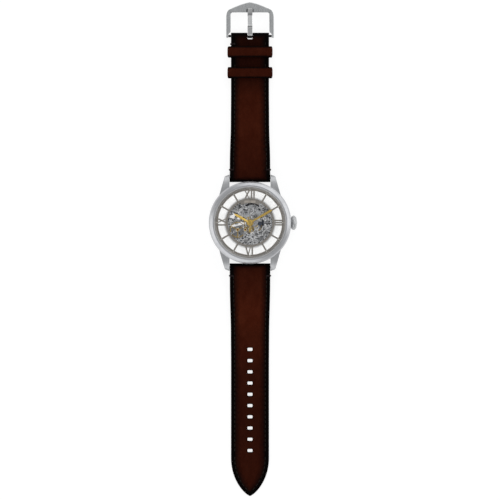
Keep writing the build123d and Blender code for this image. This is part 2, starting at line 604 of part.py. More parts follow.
def barrel_drum():
    """The toothed drum that the mainspring drives."""
    face = gear_face(BARREL_TEETH, BARREL_M, BARREL_PHASE)
    body = Pos(*BARREL) * plate(face, RIM_Z) + disc(DRUM_R, DRUM_Z, BARREL)
    body -= disc(DRUM_R - 0.3, (DRUM_Z[0] - 0.1, DRUM_Z[1] - 0.2), BARREL)
    for start in (0, 120, 240):
        body -= plate(sector(4.2, 2.4, start + 25, start + 95, BARREL), (DRUM_Z[1] - 0.3, DRUM_Z[1] + 0.1))
    return body - disc(0.52, DRUM_Z, BARREL)


def barrel_cover():
    face = Circle(DRUM_R - 0.32) - Circle(0.86)
    for start in (0, 120, 240):
        face -= sector(4.0, 2.2, start, start + 80)
    return plate(Pos(*BARREL) * face, (DRUM_Z[0], DRUM_Z[0] + 0.15))


def mainspring():
    return spiral(BARREL, 1.15, 0.46, 7.5, 0.14, (5.15, 5.62))


def barrel_arbor():
    """The core that the ratchet wheel turns to wind the spring."""
    steps = [(0.48, (5.66, 6.9)), (0.83, (5.12, 5.66)), (0.82, (3.65, 5.12))]
    return arbor(BARREL, steps) + Pos(BARREL[0], BARREL[1], 3.35) * Box(0.9, 0.9, 0.64)


def ratchet_wheel():
    face = gear_face(RATCHET_TEETH, WINDING_M, RATCHET_PHASE) - Rectangle(0.92, 0.92)
    for k in range(6):
        face -= Pos(*polar(2.7, 60 * k)) * Circle(0.62)
    return Pos(*BARREL) * plate(face, WINDING_Z)


def crown_wheel():
    face = gear_face(CROWN_TEETH, WINDING_M, 0.0) - Circle(0.32)
    for k in range(5):
        face -= Pos(*polar(2.1, 72 * k + 36)) * Circle(0.45)
    return Pos(*CROWN_WHEEL) * plate(face, WINDING_Z)


def click():
    """The pawl that holds the ratchet wheel."""
    nose = toward(CLICK, BARREL, 0.93)
    face = bar(CLICK, nose, 0.42) + Pos(*CLICK) * Circle(0.6) + bar(CLICK, polar(1.5, -35, CLICK), 0.5)
    return plate(face, WINDING_Z) + disc(0.18, (WINDING_Z[1], 4.2), CLICK)


# ---------------------------------------------------------------- going train
def centre_wheel():
    """The minute wheel of the train on its hollow pinion."""
    body = crossed_wheel(CENTRE_TEETH, CENTRE_M, (5.98, 6.12), CENTRE_PHASE, O, 0.75, 0.45, 4, 0.34, 20)
    body += plate(gear_face(CENTRE_PINION, BARREL_M, CENTRE_PINION_PHASE), (5.35, 5.98))
    body += disc(0.5, (5.98, 7.35))
    return body - disc(0.2, (5, 8))


def third_wheel():
    body = crossed_wheel(THIRD_TEETH, THIRD_M, (4.7, 4.82), THIRD_PHASE, THIRD, 0.7, 0.42, 5, 0.3, 10)
    body += plate(gear_face(THIRD_PINION, CENTRE_M, THIRD_PINION_PHASE, THIRD), (5.8, 6.22))
    return body + arbor(THIRD, [(PIVOT_R, (3.7, 4.3)), (0.16, (4.3, 6.24)), (PIVOT_R, (6.24, 7.25))])


def fourth_wheel():
    """The seconds wheel. Its long arbor runs through the centre wheel to the seconds hand."""
    body = crossed_wheel(FOURTH_TEETH, FOURTH_M, (4.4, 4.52), FOURTH_PHASE, O, 0.6, 0.4, 4, 0.28, 45)
    body += plate(gear_face(FOURTH_PINION, THIRD_M, FOURTH_PINION_PHASE), (4.52, 5.0))
    steps = [(PIVOT_R, (3.7, 4.32)), (0.16, (4.32, 5.3)), (0.13, (5.3, 9.0)), (0.09, (9.0, 9.44))]
    return body + arbor(O, steps)


def escape_wheel():
    """The 20-tooth escape wheel with slanted club teeth."""
    points = []
    for tooth in range(ESCAPE_TEETH):
        start = tooth * 360 / ESCAPE_TEETH
        points += [polar(ESCAPE_R - 0.42, start - 3), polar(ESCAPE_R, start + 3.5)]
        points += [polar(ESCAPE_R - 0.06, start + 6.5), polar(ESCAPE_R - 0.42, start + 3)]
    face = make_face(Polyline(*points, close=True))
    windows = Circle(ESCAPE_R - 0.62) - Circle(0.45)
    for k in range(4):
        windows -= bar((0, 0), polar(ESCAPE_R - 0.5, 90 * k), 0.2)
    body = Pos(*ESCAPE) * plate(face - windows, (5.33, 5.43))
    body += plate(gear_face(ESCAPE_PINION, FOURTH_M, ESCAPE_PINION_PHASE, ESCAPE), (4.36, 4.75))
    return body + arbor(ESCAPE, [(PIVOT_R, (3.7, 4.3)), (0.12, (4.3, 6.2)), (PIVOT_R, (6.2, 7.25))])


LEVER_TURN = bearing(ESCAPE, BALANCE)


def pallet_fork():
    """The lever: two arms with ruby faces at one side of its pivot and the fork at the other."""
    face = Circle(0.32)
    for side in (1, -1):
        elbow = polar(1.3, 180 - side * 76)
        face += bar((0, 0), elbow, 0.32)
    face += bar((0, 0), (FORK_LENGTH - 0.5, 0), 0.26)
    face += Pos(FORK_LENGTH - 0.28, 0) * Rectangle(0.62, 0.86)
    face -= Pos(FORK_LENGTH - 0.02, 0) * Rectangle(0.62, 0.34)
    face = Pos(*PALLET) * Rot(0, 0, LEVER_TURN) * face
    body = plate(face, (5.3, 5.46))
    body += arbor(PALLET, [(0.07, (4.97, 5.3)), (0.12, (5.3, 6.2)), (0.07, (6.2, 7.25))])
    stones = []
    for side in (1, -1):
        tip = polar(ESCAPE_R + 0.17, LEVER_TURN + side * 30, ESCAPE)
        stones.append(Pos(tip[0], tip[1], 5.24) * Rot(0, 0, LEVER_TURN + side * 42) * Box(0.26, 0.3, 0.12))
    return group([body, *stones])


def balance_wheel():
    """The gilt balance with three arms and eight timing screws, and its staff, roller and impulse pin."""
    face = Circle(BALANCE_R - 0.15) - Circle(BALANCE_R - 0.5)
    for k in range(3):
        face += bar((0, 0), polar(BALANCE_R - 0.3, 30 + 120 * k), 0.42)
    face += Circle(0.7)
    rim = ring(BALANCE_R - 0.15, BALANCE_R - 0.52, (4.45, 4.8))
    body = plate(face, (4.52, 4.66)) + rim
    for k in range(8):
        spoke = Rot(0, 0, 45 * k + 12) * Pos(BALANCE_R - 0.12, 0, 4.63) * Rot(0, 90, 0)
        body += spoke * Cylinder(0.13, 0.24)
    steps = [(PIVOT_R, (3.72, 4.36)), (0.15, (4.36, 6.2)), (1.12, (5.08, 5.2)), (PIVOT_R, (6.2, 7.25))]
    staff = arbor(O, steps)
    pin = disc(0.1, (5.2, 5.5), polar(PIN_ORBIT, LEVER_TURN))
    return Pos(*BALANCE) * (body + staff + pin)


def hairspring():
    return spiral(BALANCE, 0.42, 0.3, 8, 0.06, (4.36, 4.44))


# ---------------------------------------------------------------- winding, setting and motion work
def winding_pinion():
    """Turned by the crown. Its teeth drive the crown wheel and its face has slots for the clutch."""
    face = gear_face(WINDING_PINION, WINDING_M, 180 / WINDING_PINION, addendum=0.5, dedendum=1.1)
    body = extrude(face - Circle(0.4), amount=0.8)
    for k in range(6):
        body -= Rot(0, 0, 60 * k) * Pos(0.68, 0, 0) * Box(0.42, 0.3, 0.5)
    return Pos(CROWN_MESH_X - 0.16, 0, STEM_Z) * Rot(0, 90, 0) * body


def clutch_wheel():
    """The sliding clutch: dogs for the winding pinion, teeth for the setting wheel, a groove between."""
    end = CROWN_MESH_X - 0.2
    body = extrude(Circle(0.9) - Rectangle(0.66, 0.66), amount=1.6)
    body -= Pos(0, 0, 0.85) * (Cylinder(1.2, 0.36) - Cylinder(0.62, 0.5))
    for k in range(12):
        body -= Rot(0, 0, 30 * k) * Pos(0.8, 0, 0) * Box(0.36, 0.2, 0.3)
    for k in range(6):
        body += Rot(0, 0, 60 * k) * Pos(0.68, 0, 1.67) * Box(0.3, 0.2, 0.18)
    return Pos(end - 1.6, 0, STEM_Z) * Rot(0, 90, 0) * body


def setting_lever():
    """Its pin rides in the stem's groove, so it turns when the crown is pulled."""
    tail = (8.9, -3.9)
    face = bar(SETTING_LEVER, LEVER_PIN, 0.62) + bar(SETTING_LEVER, tail, 0.7)
    face += Pos(*SETTING_LEVER) * Circle(0.6)
    body = plate(face, (7.4, 7.6)) + disc(0.12, (4.98, 7.5), LEVER_PIN)
    return body - disc(0.3, (7, 8), SETTING_LEVER)


def yoke():
    """Its pin rides in the clutch's groove and slides the clutch."""
    tail = (6.6, 5.6)
    face = bar(YOKE, YOKE_PIN, 0.55) + bar(YOKE, tail, 0.6) + Pos(*YOKE) * Circle(0.6)
    body = plate(face, (7.4, 7.6)) + disc(0.13, (5.28, 7.5), YOKE_PIN)
    return body - disc(0.3, (7, 8), YOKE)


def setting_wheel():
    """Upper teeth on the minute wheel, lower teeth for the clutch."""
    body = plate(gear_face(SETTING_TEETH, MOTION_M, SETTING_PHASE, SETTING), (7.45, 7.65))
    body += crossed_wheel(SETTING_LOWER_TEETH, MOTION_M, (5.35, 5.5), 0, SETTING, 0.5, 0.5, 4, 0.3)
    return body + disc(0.26, (5.35, 7.65), SETTING)


def minute_wheel():
    body = plate(gear_face(MINUTE_TEETH, MOTION_M, MINUTE_PHASE, MINUTE), (7.45, 7.65))
    body += plate(gear_face(MINUTE_PINION, HOUR_M, MINUTE_PINION_PHASE, MINUTE), (7.65, 8.1))
    return body - disc(0.18, (7, 9), MINUTE)


def cannon_pinion():
    """Driven by the centre wheel's pipe. The minute hand is pressed on its top."""
    body = plate(gear_face(CANNON_TEETH, MOTION_M, CANNON_PHASE), (7.4, 7.8)) + disc(0.5, (7.8, 9.3))
    return body - disc(0.2, (7, 10))


def hour_wheel():
    body = plate(gear_face(HOUR_TEETH, HOUR_M, HOUR_PHASE), (7.86, 8.02)) + disc(0.94, (8.02, 8.95))
    return body - disc(0.56, (7, 10))


# ---------------------------------------------------------------- automatic winding
def rotor():
    """The pierced half-disc weight on its toothed hub, at rest with the weight towards 6 o'clock."""
    start, end = 188, 352
    weight = sector(12.15, 10.4, start, end)
    web = sector(10.5, 1.2, start + 6, end - 6)
    for low, high in ((248, 267), (273, 292)):
        web -= sector(9.6, 4.2, low, high)
    web += Circle(2.3)
    body = plate(weight, ROTOR_Z) + plate(web, (1.72, 2.05))
    body += plate(gear_face(ROTOR_TEETH, AUTO_M, 0.0), (2.05, 2.42))
    body -= disc(1.22, (1, 3))
    return body


def rotor_bearing():
    """The inner race, fixed to the bridge by its screw, and the balls that the rotor runs on."""
    race = disc(0.78, (1.6, AUTO_BRIDGE_Z[0])) + disc(0.48, (AUTO_BRIDGE_Z[0], 2.8))
    race -= Pos(0, 0, 1.6) * Rot(0, 0, 30) * Box(1.8, 0.18, 0.3)
    balls = [Pos(*polar(1.0, 72 * k), 1.95) * Sphere(0.2) for k in range(5)]
    return group([race, *balls])


def reversing_wheel():
    body = crossed_wheel(REVERSER_TEETH, AUTO_M, (2.22, 2.4), REVERSER_PHASE, REVERSER, 0.6, 0.5, 5, 0.35)
    body += plate(gear_face(REVERSER_PINION, AUTO_M, 0.0, REVERSER), (2.9, 3.2))
    return body + arbor(REVERSER, [(0.18, (2.4, 2.9)), (PIVOT_R, (3.2, 4.1))])


def reduction_wheel():
    body = crossed_wheel(REDUCTION_TEETH, AUTO_M, (2.92, 3.1), REDUCTION_PHASE, REDUCTION, 0.9, 0.5, 5, 0.4)
    body += plate(gear_face(REDUCTION_PINION, WINDING_M, 0.0, REDUCTION), (3.1, 3.5))
    return body + arbor(REDUCTION, [(PIVOT_R, (2.55, 2.92)), (PIVOT_R, (3.5, 4.1))])


# ---------------------------------------------------------------- strap, buckle and bars
def strap_blank(profile, outline):
    """A side profile in Y and Z, cut to a plan outline in X and Y."""
    body = Pos(-15, 0, 0) * extrude(Plane.YZ * profile, amount=30)
    return body & (Pos(0, 0, -2) * extrude(outline, amount=12))


def strap_buckle_side():
    """The short half of the strap, level from the lugs to the buckle."""
    top = Spline((BAR_Y, BAR_Z + 1.85), (42, 4.55), (62, 3.75), tangents=[(1, 0), (1, -0.01)])
    bottom = Spline((62, 1.1), (42, 1.12), (BAR_Y, BAR_Z - 1.85), tangents=[(-1, 0), (-1, 0.0)])
    nose = ThreePointArc((BAR_Y, BAR_Z - 1.85), (BAR_Y - 1.85, BAR_Z), (BAR_Y, BAR_Z + 1.85))
    tail = ThreePointArc((STRAP_END_Y - 0.9, 3.6), (STRAP_END_Y, BUCKLE_BAR_Z), (STRAP_END_Y - 0.9, 1.1))
    over = Line((62, 3.75), (STRAP_END_Y - 0.9, 3.6))
    under = Line((STRAP_END_Y - 0.9, 1.1), (62, 1.1))
    side = make_face([top, over, tail, under, bottom, nose])
    half = [(0, 22), (STRAP_HALF, 22), (STRAP_HALF, 31), (10.3, 52), (STRAP_TAPER_HALF, 66)]
    half += [(STRAP_TAPER_HALF, STRAP_END_Y + 1), (0, STRAP_END_Y + 1)]
    right = make_face(Polyline(*half, close=True))
    body = strap_blank(side, right + mirror(right, about=Plane.YZ))
    body -= Pos(0, 101.2, 2.3) * Box(3.0, 5.8, 4)  # slot for the tongue
    body -= Pos(0, BAR_Y, BAR_Z) * Rot(0, 90, 0) * Cylinder(0.85, 30)
    return body - Pos(0, BUCKLE_BAR_Y, BUCKLE_BAR_Z) * Rot(0, 90, 0) * Cylinder(0.75, 30)


def strap_tip_side():
    """The long half of the strap, with ten holes, which comes down to lie on the table."""
    y0 = -BAR_Y
    tail = ThreePointArc((STRAP_TIP_Y + 0.8, 0), (STRAP_TIP_Y, 1.1), (STRAP_TIP_Y + 0.8, 2.2))
    top = Spline((y0, BAR_Z + 1.85), (-40, 4.3), (-64, 2.7), tangents=[(-1, 0), (-1, -0.02)])
    bottom = Spline((-64, 0), (-40, 0.75), (y0, BAR_Z - 1.85), tangents=[(1, 0), (1, 0)])
    nose = ThreePointArc((y0, BAR_Z - 1.85), (y0 + 1.85, BAR_Z), (y0, BAR_Z + 1.85))
    profile = [top, Line((-64, 2.7), (STRAP_TIP_Y + 0.8, 2.2)), tail, Line((STRAP_TIP_Y + 0.8, 0), (-64, 0))]
    side = make_face([*profile, bottom, nose])
    edge = Line((STRAP_TAPER_HALF, -74), (STRAP_TAPER_HALF, -124))
    point = Spline((STRAP_TAPER_HALF, -124), (8.0, -138.1), (0, STRAP_TIP_Y), tangents=[(0, -1), (-1, -0.25)])
    start = Polyline((0, -22), (STRAP_HALF, -22), (STRAP_HALF, -31), (10.4, -56), (STRAP_TAPER_HALF, -74))
    right = make_face([start, edge, point, Line((0, STRAP_TIP_Y), (0, -22))])
    body = strap_blank(side, right + mirror(right, about=Plane.YZ))
    for k in range(HOLE_COUNT):
        hole = extrude(SlotOverall(2.6, 1.6), amount=6)
        body -= Pos(0, FIRST_HOLE_Y - k * HOLE_PITCH, -1) * hole
    return body - Pos(0, y0, BAR_Z) * Rot(0, 90, 0) * Cylinder(0.85, 30)


def keeper(y, bottom):
    """A leather loop round the strap, with room above for the other half."""
    outer = RectangleRounded(24.2, 6.2, 1.2)
    inner = RectangleRounded(22.0, 4.2, 0.6)
    face = Pos(0, bottom + 3.1) * outer - Pos(0, bottom + 3.1) * inner
    return Pos(0, y + KEEPER_WIDTH / 2, 0) * extrude(Plane.XZ * face, amount=KEEPER_WIDTH)


def fixed_keeper():
    return keeper(FIXED_KEEPER_Y, 0.1)


def sliding_keeper():
    return keeper(SLIDING_KEEPER_Y, 0.05)


def spring_bar(y, z, half, body_r, tip_r, tip_half):
    rod = Cylinder(body_r, 2 * half) + Cylinder(tip_r, 2 * tip_half)
    return Pos(0, y, z) * Rot(0, 90, 0) * rod


def lug_spring_bars():
    return group([spring_bar(side * BAR_Y, BAR_Z, 10.97, 0.75, 0.4, 12.1) for side in (1, -1)])


def buckle_spring_bar():
    return spring_bar(BUCKLE_BAR_Y, BUCKLE_BAR_Z, 11.5, 0.65, 0.4, 12.35)


def buckle_frame():
    """The domed frame, its two arms thinned inside and drilled for the bar, rounded along its outer edge."""
    inner_x, outer_x, arm_end, shoulder_y, bridge_y = 10.45, 12.75, 99.2, 111.3, 113.1
    thin_x, thin_top, thin_low = 11.7, 103.8, 102.0
    crest = (0, 118.2)
    middle = (inner_x - 0.24, bridge_y - 0.24)
    corner = ThreePointArc((inner_x - 0.8, bridge_y), middle, (inner_x, bridge_y - 0.8))
    dome = Spline((outer_x, shoulder_y), (11.6, 113.9), (9.4, 115.3), (5.0, 117.2), crest,
                  tangents=[(0, 1), (-1, 0)])
    half = make_face([
        Line((thin_x, arm_end), (outer_x, arm_end)),
        Line((outer_x, arm_end), (outer_x, shoulder_y)),
        dome,
        Line(crest, (0, bridge_y)),
        Line((0, bridge_y), (inner_x - 0.8, bridge_y)),
        corner,
        Line((inner_x, bridge_y - 0.8), (inner_x, thin_top)),
        Line((inner_x, thin_top), (thin_x, thin_low)),
        Line((thin_x, thin_low), (thin_x, arm_end)),
    ])
    plan = half + mirror(half, about=Plane.YZ)
    side = [
        ThreePointArc((arm_end - 1, 1.05), (108, 1.6), (119, 0.5)),
        Line((119, 0.5), (119, 2.6)),
        ThreePointArc((119, 2.6), (109, 3.85), (arm_end - 1, 3.65)),
        Line((arm_end - 1, 3.65), (arm_end - 1, 1.05)),
    ]
    body = Pos(0, 0, -1) * extrude(plan, amount=7)
    body = body & (Pos(-15, 0, 0) * extrude(Plane.YZ * make_face(side), amount=30))
    outer = [e for e in body.edges() if e.length > 3 and e.center().Z > 2.5 and e.center().Y > arm_end + 1]
    body = fillet(outer, 0.2)
    body -= Pos(0, 114.0, 4.05) * Box(2.9, 3.0, 1.5)  # rest for the tongue's tip
    return body - Pos(0, BUCKLE_BAR_Y, BUCKLE_BAR_Z) * Rot(0, 90, 0) * Cylinder(0.42, 2 * 12.45)


def buckle_tongue():
    """The prong, rolled round the bar and resting on the frame."""
    loop_z = BUCKLE_BAR_Z
    top = Spline((BUCKLE_BAR_Y, loop_z + 1.25), (105, 3.75), (111.5, 4.25), (114.9, 3.85),
                 tangents=[(1, 0.05), (1, -0.35)])
    bottom = Spline((114.9, 3.5), (111.2, 3.45), (105.2, 2.75), (BUCKLE_BAR_Y, loop_z - 0.2),
                    tangents=[(-1, 0.1), (-1, 0)])
    side = make_face([top, Line((114.9, 3.85), (114.9, 3.5)), bottom,
                      Line((BUCKLE_BAR_Y, loop_z - 0.2), (BUCKLE_BAR_Y, loop_z + 1.25))])
    body = Pos(-1.25, 0, 0) * extrude(Plane.YZ * side, amount=2.5)
    body += Pos(0, BUCKLE_BAR_Y, loop_z) * Rot(0, 90, 0) * Cylinder(1.25, 2.5)
    body -= Pos(0, BUCKLE_BAR_Y, loop_z) * Rot(0, 90, 0) * Cylinder(0.72, 3)
    return body


# ---------------------------------------------------------------- the pieces
PIECES = [
    mid_case, bezel, crystal, crystal_gasket, rehaut_ring, case_back, back_crystal, back_gasket,
    crown_tube, crown, stem,
    dial, hour_markers, movement_holder, hour_hand, minute_hand, seconds_hand,
    main_plate, barrel_bridge, train_bridge, balance_cock, regulator, pallet_bridge, automatic_bridge,
    jewels, movement_screws,
    barrel_drum, barrel_cover, mainspring, barrel_arbor, ratchet_wheel, crown_wheel, click,
    centre_wheel, third_wheel, fourth_wheel, escape_wheel, pallet_fork, balance_wheel, hairspring,
    winding_pinion, clutch_wheel, setting_lever, yoke, setting_wheel, minute_wheel, cannon_pinion, hour_wheel,
    rotor, rotor_bearing, reversing_wheel, reduction_wheel,
    strap_buckle_side, strap_tip_side, fixed_keeper, sliding_keeper,
    lug_spring_bars, buckle_spring_bar, buckle_frame, buckle_tongue,
]

os.makedirs("parts", exist_ok=True)
for piece in PIECES:
    export_step(piece(), f"parts/{piece.__name__}.step")
print(len(PIECES), "pieces written")
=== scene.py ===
"""Skeleton wristwatch lying on a pale table, seen from straight above.

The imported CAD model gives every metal, glass and movement piece its place. This script gives them
their materials and makes the leather, the stitching, the hands, the buckle, the jewels' gilt settings
and the printed minute track in detail. 12 o'clock is towards +Y and the crown towards +X. Lengths are
in millimetres until they become vertices, and MM turns them into Blender's metres.
"""
import json
from math import cos, hypot, pi, radians, sin, sqrt

import bmesh
import bpy
from mathutils import Matrix, Vector


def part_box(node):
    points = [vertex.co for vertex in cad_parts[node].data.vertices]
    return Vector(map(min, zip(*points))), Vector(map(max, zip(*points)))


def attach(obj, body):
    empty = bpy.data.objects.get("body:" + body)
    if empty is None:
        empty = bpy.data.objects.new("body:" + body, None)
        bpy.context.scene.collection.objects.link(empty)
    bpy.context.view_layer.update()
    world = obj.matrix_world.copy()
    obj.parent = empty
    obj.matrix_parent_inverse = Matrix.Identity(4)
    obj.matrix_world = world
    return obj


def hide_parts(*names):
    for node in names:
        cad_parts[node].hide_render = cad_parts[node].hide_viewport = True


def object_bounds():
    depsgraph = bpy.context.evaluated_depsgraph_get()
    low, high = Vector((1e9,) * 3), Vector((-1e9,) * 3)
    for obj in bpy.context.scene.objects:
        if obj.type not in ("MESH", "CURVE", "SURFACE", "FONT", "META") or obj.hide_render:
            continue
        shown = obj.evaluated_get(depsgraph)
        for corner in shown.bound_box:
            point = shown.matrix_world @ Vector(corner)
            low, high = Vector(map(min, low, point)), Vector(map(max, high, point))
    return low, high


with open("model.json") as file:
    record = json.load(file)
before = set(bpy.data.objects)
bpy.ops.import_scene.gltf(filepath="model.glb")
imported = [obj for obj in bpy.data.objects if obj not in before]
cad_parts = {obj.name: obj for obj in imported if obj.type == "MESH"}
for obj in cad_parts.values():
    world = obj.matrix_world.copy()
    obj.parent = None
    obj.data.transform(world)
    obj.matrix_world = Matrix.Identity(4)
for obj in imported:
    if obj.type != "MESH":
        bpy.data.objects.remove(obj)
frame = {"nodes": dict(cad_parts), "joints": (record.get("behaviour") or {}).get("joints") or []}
CAD_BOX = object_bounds()
MM = 0.001


def low_high(node):
    """The low and high corners of a CAD node's box, in millimetres."""
    low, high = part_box(node)
    return [v / MM for v in low], [v / MM for v in high]


def joint_place(joint):
    """Where a joint's axis is, in millimetres."""
    return [v / MM for v in JOINTS[joint]["pos_m"]]


# ---------------- sizes read from the frame
JOINTS = {joint["name"]: joint for joint in frame["joints"]}
BAR_Y, BAR_Z = joint_place("strap_12_hinge")[1:]
BUCKLE_Y, BUCKLE_Z = joint_place("buckle_hinge")[1:]
BALANCE = joint_place("balance_swing")[:2]
BARREL = joint_place("barrel_spin")[:2]
STRAP_END = low_high("strap_buckle_side")[1][1]
STRAP_TIP = low_high("strap_tip_side")[0][1]
DIAL_TOP = low_high("dial")[1][2]

# ---------------- sizes of what is made here
LUG_HALF, TAPER_HALF = 10.9, 10.2  # half widths of the strap between the lugs and beyond its taper
NOSE_R, NOSE_REACH = 1.85, 2.35  # the fold round the lug bars: half its height, and how far it stands out
POINT_LENGTH = 20.5  # of the strap's tip, from where its sides start to curve in
STITCH_INSET, STITCH_PITCH, STITCH_R, STITCH_LIFT = 2.05, 2.5, 0.21, 0.05
TACK_GAP = 4.3  # from the lug bar to the first bar tack
KEEPER_STITCH, KEEPER_TACK, KEEPER_STITCH_END = 95.2, 95.8, 97.6  # beyond the fixed keeper
UPPER_ROW_END, LOWER_ROW_END, TIP_ROW_START = 86, 123, 124.5  # where the long rows of stitches end and turn
HOLES, FIRST_HOLE, HOLE_PITCH = 10, -67.9, 6.03  # along the tip half
HOLE_HALF = (1.35, 0.88)
SLOT_HALF = (1.4, 3.75)  # the tongue's slot in the buckle half
HOUR_ANGLE, MINUTE_ANGLE = 151, 30  # counted from 3 o'clock, against the clock


# ---------------- mesh helpers
def smoothstep(t):
    """0 to 1 with soft ends, as t goes from 0 to 1."""
    t = min(1.0, max(0.0, t))
    return t * t * (3 - 2 * t)


def between(table, x):
    """Smooth value at x from (x, value) pairs in rising order."""
    if x <= table[0][0]:
        return table[0][1]
    for (x0, v0), (x1, v1) in zip(table, table[1:]):
        if x <= x1:
            return v0 + (v1 - v0) * smoothstep((x - x0) / (x1 - x0))
    return table[-1][1]


def skin(rings, caps=True):
    """Vertices and faces through rings of points, each ring closed on itself."""
    count = len(rings[0])
    verts = [point for ring in rings for point in ring]
    faces = []
    for i in range(len(rings) - 1):
        for j in range(count):
            a, b = i * count + j, i * count + (j + 1) % count
            faces.append((a, b, b + count, a + count))
    if caps:
        faces.append(tuple(range(count)))
        faces.append(tuple(range(len(verts) - count, len(verts))))
    return verts, faces


def merge(meshes):
    """One vertex and face list from several."""
    verts, faces = [], []
    for some_verts, some_faces in meshes:
        start = len(verts)
        verts += some_verts
        faces += [tuple(start + i for i in face) for face in some_faces]
    return verts, faces


def mesh_object(name, shape, smooth=True, angle=40):
    """A mesh object from vertices in millimetres, with its normals outwards."""
    verts, faces = shape
    mesh = bpy.data.meshes.new(name)
    mesh.from_pydata([(x * MM, y * MM, z * MM) for x, y, z in verts], [], faces)
    work = bmesh.new()
    work.from_mesh(mesh)
    bmesh.ops.remove_doubles(work, verts=work.verts, dist=1e-7)
    bmesh.ops.recalc_face_normals(work, faces=work.faces)
    for edge in work.edges:
        sharp = len(edge.link_faces) != 2 or edge.calc_face_angle(0) > radians(angle)
        edge.smooth = smooth and not sharp
    for face in work.faces:
        face.smooth = smooth
    work.to_mesh(mesh)
    work.free()
    obj = bpy.data.objects.new(name, mesh)
    bpy.context.collection.objects.link(obj)
    return obj


def piece(name, shape, body, *materials, smooth=True, angle=40):
    """A mesh object in its materials, riding on a body."""
    obj = mesh_object(name, shape, smooth, angle)
    for material in materials:
        obj.data.materials.append(material)
    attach(obj, body)
    return obj


def lathe(profile, centre=(0.0, 0.0), segments=48):
    """A ring or knob: (radius, z) points turned about a vertical axis."""
    rings = []
    for k in range(segments):
        a = 2 * pi * k / segments
        rings.append([(centre[0] + r * cos(a), centre[1] + r * sin(a), z) for r, z in profile])
    rings.append(rings[0])
    return skin(rings, caps=False)


def ring_round(place, along, across, radius, share, sides=8):
    """A ring of points about a place, square to a direction, at a share of the radius."""
    third = along.cross(across)
    turn = [2 * pi * j / sides for j in range(sides)]
    return [tuple(place + (across * cos(a) + third * sin(a)) * radius * share) for a in turn]


def capsule(start, end, radius, rounds=3):
    """A rod with round ends between two points."""
    start, end = Vector(start), Vector(end)
    along = (end - start).normalized()
    across = along.orthogonal().normalized()
    turns = [pi / 2 * k / rounds for k in range(rounds + 1)]
    stations = [(start - along * radius * cos(t), max(0.02, sin(t))) for t in turns]
    stations += [(end + along * radius * cos(t), max(0.02, sin(t))) for t in reversed(turns)]
    return skin([ring_round(place, along, across, radius, share) for place, share in stations])


def tube(path, radius):
    """A round thread along a list of points."""
    points = [Vector(p) for p in path]
    rings = []
    for i, place in enumerate(points):
        along = (points[min(i + 1, len(points) - 1)] - points[max(i - 1, 0)]).normalized()
        across = along.cross(Vector((0, 1, 0))).normalized()
        rings.append(ring_round(place, along, across, radius, 0.35 if i in (0, len(points) - 1) else 1))
    return skin(rings)


# ---------------- material helpers
NOISE_LOW, NOISE_HIGH = 0.3, 0.7  # most values of a noise lie between these
FULL = ((0, 0), (1, 1))  # a ramp that changes nothing


